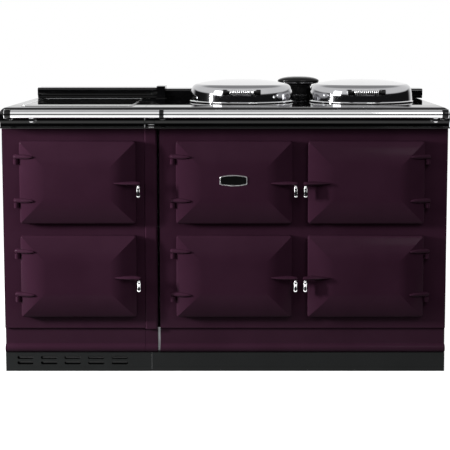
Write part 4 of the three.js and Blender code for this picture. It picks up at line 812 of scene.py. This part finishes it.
def build_rail_bosses():
    """Chrome bosses behind the rails, bright rings on the end brackets, a trim clip on the joint, and a
    bright strip on the joint's seam that is a painted highlight.
    """
    for name, x in BOSSES:
        boss = [(radius, FASCIA_Y + behind) for radius, behind in BOSS]
        turned_piece(f"{name}_rail_boss", boss, 48, "Y", (x, 0, BOSS_Z), chrome_fittings)
    for name, x, out in RINGS:
        ring = [(radius, x + out * along) for radius, along in RING]
        turned_piece(f"{name}_bracket_ring", ring, 64, "X", (0, RAIL_Y, RAIL_Z), chrome_fittings)
    block_piece("joint_clip", (-249, FASCIA_Y - 1.2, 824.5), (-230.5, FASCIA_Y + 2, 835), 0.8, 3,
                hob_trim)
    # A bright strip at the seam of the left top plate and the joint block: a painted highlight on the
    # seam's edge.
    block_piece("joint_seam_highlight_strip", (-262, FASCIA_Y - 0.8, 827), (-260.2, FASCIA_Y + 3, 856), 0.4, 2,
                hob_trim)


# ---------------------------------------------------------------- glass hob
GLASS_CORNER_R = 10
VENT_BEAD_FOOT, VENT_BEAD_TOP = 907, 908.8


def build_hob():
    low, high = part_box("hob_glass")
    bm = bmesh.new()
    block(bm, low / MM, high / MM)
    bevel_edges(bm, [edge for edge in bm.edges if run_along(edge, 2) > 1], GLASS_CORNER_R, 8)
    plate = settle("hob_glass_plate", bm, hob_glass, "range", ["hob_glass"], sharp=180)
    round_edges(plate, 1, 3, 40)
    eased("hob_frame", hob_trim, 0.8)
    eased("hob_element_tray", galvanised, 1)
    low, high = (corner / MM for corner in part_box("hob_vent"))
    block_piece("hob_vent_bead", (low.x + 4, low.y - 0.9, VENT_BEAD_FOOT),
                (high.x - 4, low.y + 1, VENT_BEAD_TOP), 0.6, 2, black_top)


# ---------------------------------------------------------------- flue cap
FLUE_FOOT = Vector((270, 324.5, HOB_Z))
FLUE_SECTIONS = (  # width, depth, height over the top plate
    (92, 60, 0.3), (92, 60, 2), (92, 60, 42), (93, 61, 44), (98, 66, 45.4), (100, 68, 46.4),
    (100, 68, 50), (102, 69.6, 51.4), (140, 90, 56), (149, 98, 58.4), (153.6, 102.6, 60.4),
    (155, 104, 62.6), (155, 104, 66.4), (153.6, 102.6, 68), (148, 98, 70.2), (134, 88, 73.6),
    (112, 73, 76.8), (84, 54, 79.2), (50, 32, 80.6), (16, 10, 81),
)
FLUE_BEADS = (("flue_neck_bead", 93, 61, 11.2), ("flue_rim_bead", 150, 99, 57.2))
BEAD_SECTIONS = ((0, -2), (0, 1), (0.5, 2), (1.3, 2), (1.8, 1), (1.8, -2))  # rise, wider by


def oval_piece(name, sections, material, nodes=()):
    """A casting or bead of oval sections, one over another, on the flue's foot."""
    bm = bmesh.new()
    lofted(bm, [(FLUE_FOOT + Vector((0, 0, z)), width / 2, depth / 2) for width, depth, z in sections],
           64, "Z")
    settle(name, bm, material, "range", nodes, sharp=40)


def build_flue():
    oval_piece("flue_cap_casting", FLUE_SECTIONS, black_fittings, ["flue_cap"])
    for name, width, depth, z in FLUE_BEADS:
        oval_piece(name, [(width + wide, depth + wide, z + rise) for rise, wide in BEAD_SECTIONS],
                   hob_trim)
    eased("flue_chamber", flue_iron, 2)


# ---------------------------------------------------------------- thermostat
KNOB = (  # radius, distance behind the knob's face
    (0, 0), (17, 0), (19.6, 0.6), (21.4, 1.8), (22.4, 3.4), (23, 19), (23.4, 20), (25.4, 22), (26, 23),
    (26, 26), (4, 26), (4, 33), (0, 33),
)
KNOB_SEAT = 26
DIAL_MARKS, DIAL_STEP = 10, 30  # the step in degrees
TICK_REACH, TICK_SIZE = 31, (1.2, 0.2, 5, 1)
NUMBER_REACH, NUMBER_SIZE = 41, 10


def dial_direction(k):
    """Angle of the dial's mark k, clockwise from the top, and how far right and up it points."""
    angle = math.radians(90 - DIAL_STEP * k)
    return angle, math.cos(angle), math.sin(angle)


def build_thermostat():
    eased("control_panel", plinth_enamel, 1.5)
    low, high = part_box("thermostat_knob")
    x, z = (low.x + high.x) / 2 / MM, (low.z + high.z) / 2 / MM
    face = low.y / MM + 2
    seat = face + KNOB_SEAT
    bm = bmesh.new()
    spun(bm, [(radius, face + behind) for radius, behind in KNOB], 64, "Y", (x, 0, z))
    block(bm, (x - 2, face - 2, z + 4), (x + 2, face + 2, z + 20), 0.6)
    settle("thermostat_knob_piece", bm, knob_plastic, "thermostat_knob",
           ["thermostat_knob"])
    bm = bmesh.new()
    for k in range(DIAL_MARKS):
        angle, right, up = dial_direction(k)
        mark = Matrix.Translation((x + right * TICK_REACH, seat - 0.1, z + up * TICK_REACH))
        shape = Matrix.Rotation(math.pi / 2 - angle, 4, "Y") @ Matrix.Diagonal(TICK_SIZE)
        verts = bmesh.ops.create_cube(bm, size=1)["verts"]
        bmesh.ops.transform(bm, matrix=mark @ shape, verts=verts)
    settle("dial_ticks", bm, dial_marking, "range")
    for k, label in enumerate("123456789", start=1):
        _, right, up = dial_direction(k)
        place = Vector((x + NUMBER_REACH * right, seat - 0.15, z + NUMBER_REACH * up)) * MM
        build_dial_number(label, place)


def build_dial_number(label, place):
    text = bpy.data.curves.new(f"dial_number_{label}", "FONT")
    text.body, text.size, text.extrude = label, NUMBER_SIZE * MM, 0.1 * MM
    text.align_x = text.align_y = "CENTER"
    holder = bpy.data.objects.new("text_holder", text)
    mesh = bpy.data.meshes.new_from_object(holder)
    bpy.data.objects.remove(holder)
    mesh.transform(Matrix.Translation(place) @ Matrix.Rotation(math.pi / 2, 4, "X"))
    bm = bmesh.new()
    bm.from_mesh(mesh)
    bpy.data.meshes.remove(mesh)
    bmesh.ops.remove_doubles(bm, verts=bm.verts, dist=0.001 * MM)
    settle(f"dial_number_{label}", bm, dial_marking, "range", unit=1)


# ---------------------------------------------------------------- bare plate on the control door
PLATE_X, PLATE_Z = 28.6, 650.6
PLATE_CUTS, PLATE_TAPER, PLATE_CORNER_R = 15, 0.3, 3
PLATE_PIECES = (  # name, width, height, back and front before the panel, material, slot
    ("door_plate_rim", 90, 36, -45.0, -47.0, coil_wire, "chrome"),
    ("door_plate_field", 84, 30, -46.4, -47.4, black_fittings, "black_enamel"),
)


def build_plate():
    """A bare barrel-shaped plate: chrome rim round a black field."""
    for name, width, height, back, front, material, slot in PLATE_PIECES:
        bm = bmesh.new()
        block(bm, (-width / 2, front, -height / 2), (width / 2, back, height / 2))
        bars = [edge for edge in bm.edges if run_along(edge, 0) > 1]
        bmesh.ops.subdivide_edges(bm, edges=bars, cuts=PLATE_CUTS)
        for vert in bm.verts:
            vert.co.z *= 1 - PLATE_TAPER * (2 * vert.co.x / width) ** 2
        corners = [edge for edge in bm.edges if run_along(edge, 1) > 0.5
                   and abs(abs(edge.verts[0].co.x) - width / 2) < 0.01]
        bevel_edges(bm, corners, PLATE_CORNER_R, 4)
        bmesh.ops.translate(bm, vec=(PLATE_X, PANEL_Y, PLATE_Z), verts=bm.verts)
        piece = settle(name, bm, material, "control_door", sharp=30)
        round_edges(piece, 0.4, 2, 40)


# ---------------------------------------------------------------- ovens, shelves, carcass, top
SHELF_SIDE_R, SHELF_END_R, SHELF_WIRE_R, SHELF_GAPS = 3.5, 3.4, 2.5, 10
SCREW_R, SCREW_RISE = 4.2, 0.45
SCREW_ROWS = (90, 795)
BACK_SCREW_Y, BACK_SCREW_REACH, BACK_SCREW_GAPS = 380.9, 690, 6
SIDE_SCREW_X = 737.4
SIDE_SCREW_COLUMNS, SIDE_SCREW_ROWS = (-240, 60, 355), (90, 440, 795)
# Sizes of the black sheet behind the plinth's slots, which is painted shade.
SHADE_SHEET_MARGIN, SHADE_SHEET_FOOT, SHADE_SHEET_TOP = 12, 6, 60
CARCASS = (  # node, material, width of its eased edges
    ("left_front_plate", aubergine, 1.6), ("right_front_plate", aubergine, 1.6),
    ("left_skirt", aubergine, 1.2), ("right_skirt", aubergine, 1.2),
    ("left_plinth", plinth_enamel, 0.7), ("right_plinth", plinth_enamel, 0.7),
    ("joint_pilaster", aubergine, 1.0), ("hob_vent", black_top, 3.0), ("rear_upstand", black_top, 1.2),
    ("left_side_panel", galvanised, 0.8), ("right_side_panel", galvanised, 0.8),
    ("back_panel", galvanised, 0.8), ("base_frame", galvanised, 1.2),
)


def build_shelves():
    for oven in ("warming_oven", "roasting_oven"):
        low, high = (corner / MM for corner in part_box(f"{oven}_shelf"))
        z = (low.z + high.z) / 2
        left, right = low.x + SHELF_SIDE_R, high.x - SHELF_SIDE_R
        bm = bmesh.new()
        for x in (left, right):
            rod(bm, (x, low.y, z), (x, high.y, z), SHELF_SIDE_R, 20, 1)
        for y in (low.y + SHELF_SIDE_R, high.y - SHELF_SIDE_R):
            rod(bm, (left, y, z), (right, y, z), SHELF_END_R, 20)
        for i in range(1, SHELF_GAPS):
            x = low.x + (high.x - low.x) * i / SHELF_GAPS
            rod(bm, (x, low.y + 1, z), (x, high.y - 1, z), SHELF_WIRE_R, 16, 0.5)
        settle(f"{oven}_shelf_wires", bm, shelf_wire, "range", [f"{oven}_shelf"], sharp=50)


def screw_heads(name, heads, axis):
    """Domed screw heads that sit on a sheet and face out along axis."""
    turn = Vector(axis).to_track_quat("Z", "Y").to_matrix().to_4x4()
    bm = bmesh.new()
    for head in heads:
        verts = bmesh.ops.create_uvsphere(bm, u_segments=16, v_segments=8, radius=SCREW_R)["verts"]
        place = Matrix.Translation(head) @ turn @ Matrix.Diagonal((1, 1, SCREW_RISE, 1))
        bmesh.ops.transform(bm, matrix=place, verts=verts)
    settle(name, bm, chrome_fittings, "range", sharp=60)


def build_carcass():
    for node, material, width in CARCASS:
        eased(node, material, width)
    for node in ("left_top_plate", "right_top_plate", "joint_block"):
        keep_lines_crisp(eased(node, black_top, 1.0), FASCIA_LINES)
    for name, *_ in DOORS:
        if name != "control":
            eased(name, oven_iron, 2.0)
    gap = 2 * BACK_SCREW_REACH / BACK_SCREW_GAPS
    heads = [(-BACK_SCREW_REACH + gap * i, BACK_SCREW_Y, z)
             for i in range(BACK_SCREW_GAPS + 1) for z in SCREW_ROWS]
    screw_heads("back_panel_screws", heads, (0, 1, 0))
    for name, side in (("left", -1), ("right", 1)):
        heads = [(side * SIDE_SCREW_X, y, z) for y in SIDE_SCREW_COLUMNS for z in SIDE_SCREW_ROWS]
        screw_heads(f"{name}_side_screws", heads, (side, 0, 0))


def build_slot_shade_sheet():
    """A folded black sheet behind the plinth's slots: painted shade, standing in for the dark inside of the
    plinth.
    """
    low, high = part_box("left_plinth")
    left, right = low.x / MM + SHADE_SHEET_MARGIN, high.x / MM - SHADE_SHEET_MARGIN
    front, back = PANEL_Y + 12, PANEL_Y + 13
    bm = bmesh.new()
    block(bm, (left, front, SHADE_SHEET_FOOT), (right, back, SHADE_SHEET_TOP), 0.3)
    block(bm, (left, back, SHADE_SHEET_FOOT), (right, PANEL_Y + 22, SHADE_SHEET_FOOT + 1), 0.3)
    settle("left_plinth_shade_sheet", bm, black_fittings, "range", sharp=40)


build_carcass()
# Painted shade behind the plinth's slots.
build_slot_shade_sheet()
build_doors()
build_plate()
build_thermostat()
build_shelves()
build_hotplates()
build_lids()
build_hob()
build_flue()
build_rails()
build_rail_bosses()


# ---------------------------------------------------------------- studio
FLOOR_HALF, FLOOR_MIDDLE = (7, 3.8, 1), (0, 2.65, -0.0005)
FLOOR_LIFT, FLOOR_STRAY = 0.7, grey(0.05)
ROOM_WHITE, CEILING_GREY, FLAG_BLACK = grey(0.95), (0.42, 0.42, 0.425, 1), (0.012, 0.012, 0.013, 1)
STRAY_LOW, STRAY_HIGH = grey(0.02), grey(0.4)
LAMPS = (  # name, place, aimed at, size, watts
    ("key_lamp", (-2.4, -1.7, 1.85), (0, -0.3, 0.9), (1.1, 1.1), 19),
    ("side_lamp", (-3.2, -1.1, 1.15), (0, -0.3, 1.0), (0.14, 0.6), 150),
    ("front_lamp", (1.3, -2.6, 2.2), (0.2, -0.2, 0.8), (1.0, 0.7), 13),
)


def build_floor():
    """A pale floor: white to the camera and in reflections, dark for stray light."""
    bm = bmesh.new()
    bmesh.ops.create_grid(bm, x_segments=1, y_segments=1, size=1)
    bmesh.ops.scale(bm, vec=FLOOR_HALF, verts=bm.verts)
    bmesh.ops.translate(bm, vec=FLOOR_MIDDLE, verts=bm.verts)
    mesh = bpy.data.meshes.new("floor")
    bm.to_mesh(mesh)
    bm.free()
    floor = bpy.data.objects.new("floor", mesh)
    bpy.context.scene.collection.objects.link(floor)
    made = bpy.data.materials.new("studio_floor")
    made.use_nodes = True
    tree = made.node_tree
    tree.nodes.clear()
    path = put(tree, "ShaderNodeLightPath").outputs
    shown = calc(tree, "MAXIMUM", path["Is Camera Ray"],
                 calc(tree, "MAXIMUM", path["Is Glossy Ray"], path["Is Transmission Ray"]))
    where = put(tree, "ShaderNodeTexCoord").outputs["Object"]
    grain = spread(tree, noise(tree, where, 40.0, 4.0, 0.6), 0.3, 0.7, 0.9, 0.94)
    tone = put(tree, "ShaderNodeCombineColor", {0: grain, 1: grain, 2: grain}).outputs[0]
    paint = put(tree, "ShaderNodeBsdfDiffuse", {"Color": tone})
    lift = put(tree, "ShaderNodeEmission", {"Color": grey(1), "Strength": FLOOR_LIFT})
    bright = put(tree, "ShaderNodeAddShader", {0: paint.outputs[0], 1: lift.outputs[0]})
    plain = put(tree, "ShaderNodeBsdfDiffuse", {"Color": FLOOR_STRAY})
    choice = put(tree, "ShaderNodeMixShader", {0: shown, 1: plain.outputs[0], 2: bright.outputs[0]})
    put(tree, "ShaderNodeOutputMaterial", {"Surface": choice.outputs[0]})
    mesh.materials.append(made)


def build_world():
    """White room with a grey ceiling, and a dark band low in front and at the sides."""
    world = bpy.data.worlds.new("studio")
    bpy.context.scene.world = world
    world.use_nodes = True
    tree = world.node_tree
    tree.nodes.clear()
    path = put(tree, "ShaderNodeLightPath").outputs
    direction = put(tree, "ShaderNodeTexCoord").outputs["Generated"]
    way = put(tree, "ShaderNodeSeparateXYZ", {0: direction}).outputs
    under = spread(tree, way["Z"], -0.34, -0.27, 0.0, 1.0)
    over = spread(tree, way["Z"], 0.15, 0.23, 1.0, 0.0)
    dark = calc(tree, "MULTIPLY", under, over)
    front = spread(tree, way["Y"], 0.6, 0.9, 1.0, 0.0)
    flag = calc(tree, "MULTIPLY", dark, front)
    lean = calc(tree, "MULTIPLY_ADD", way["Y"], 0.25, way["Z"])
    ceiling = spread(tree, lean, 0.68, 0.86, 0.0, 1.0)
    room = mixed(tree, ceiling, ROOM_WHITE, CEILING_GREY)
    room = mixed(tree, flag, room, FLAG_BLACK)
    white = calc(tree, "MAXIMUM", path["Is Camera Ray"], path["Is Transmission Ray"])
    seen = mixed(tree, white, room, grey(1))
    direct = calc(tree, "MAXIMUM", white, path["Is Glossy Ray"])
    stray = mixed(tree, spread(tree, way["Z"], -0.3, 0.2, 0.0, 1.0), STRAY_LOW, STRAY_HIGH)
    colour = mixed(tree, direct, stray, seen)
    background = put(tree, "ShaderNodeBackground", {"Color": colour, "Strength": 1.0})
    put(tree, "ShaderNodeOutputWorld", {"Surface": background.outputs[0]})


def add_lamp(name, place, target, size, watts):
    data = bpy.data.lights.new(name, "AREA")
    data.shape = "RECTANGLE"
    data.size, data.size_y = size
    data.energy = watts
    lamp = bpy.data.objects.new(name, data)
    lamp.location = place
    lamp.rotation_euler = (Vector(target) - Vector(place)).to_track_quat("-Z", "Y").to_euler()
    bpy.context.scene.collection.objects.link(lamp)


build_floor()
build_world()
for lamp in LAMPS:
    add_lamp(*lamp)
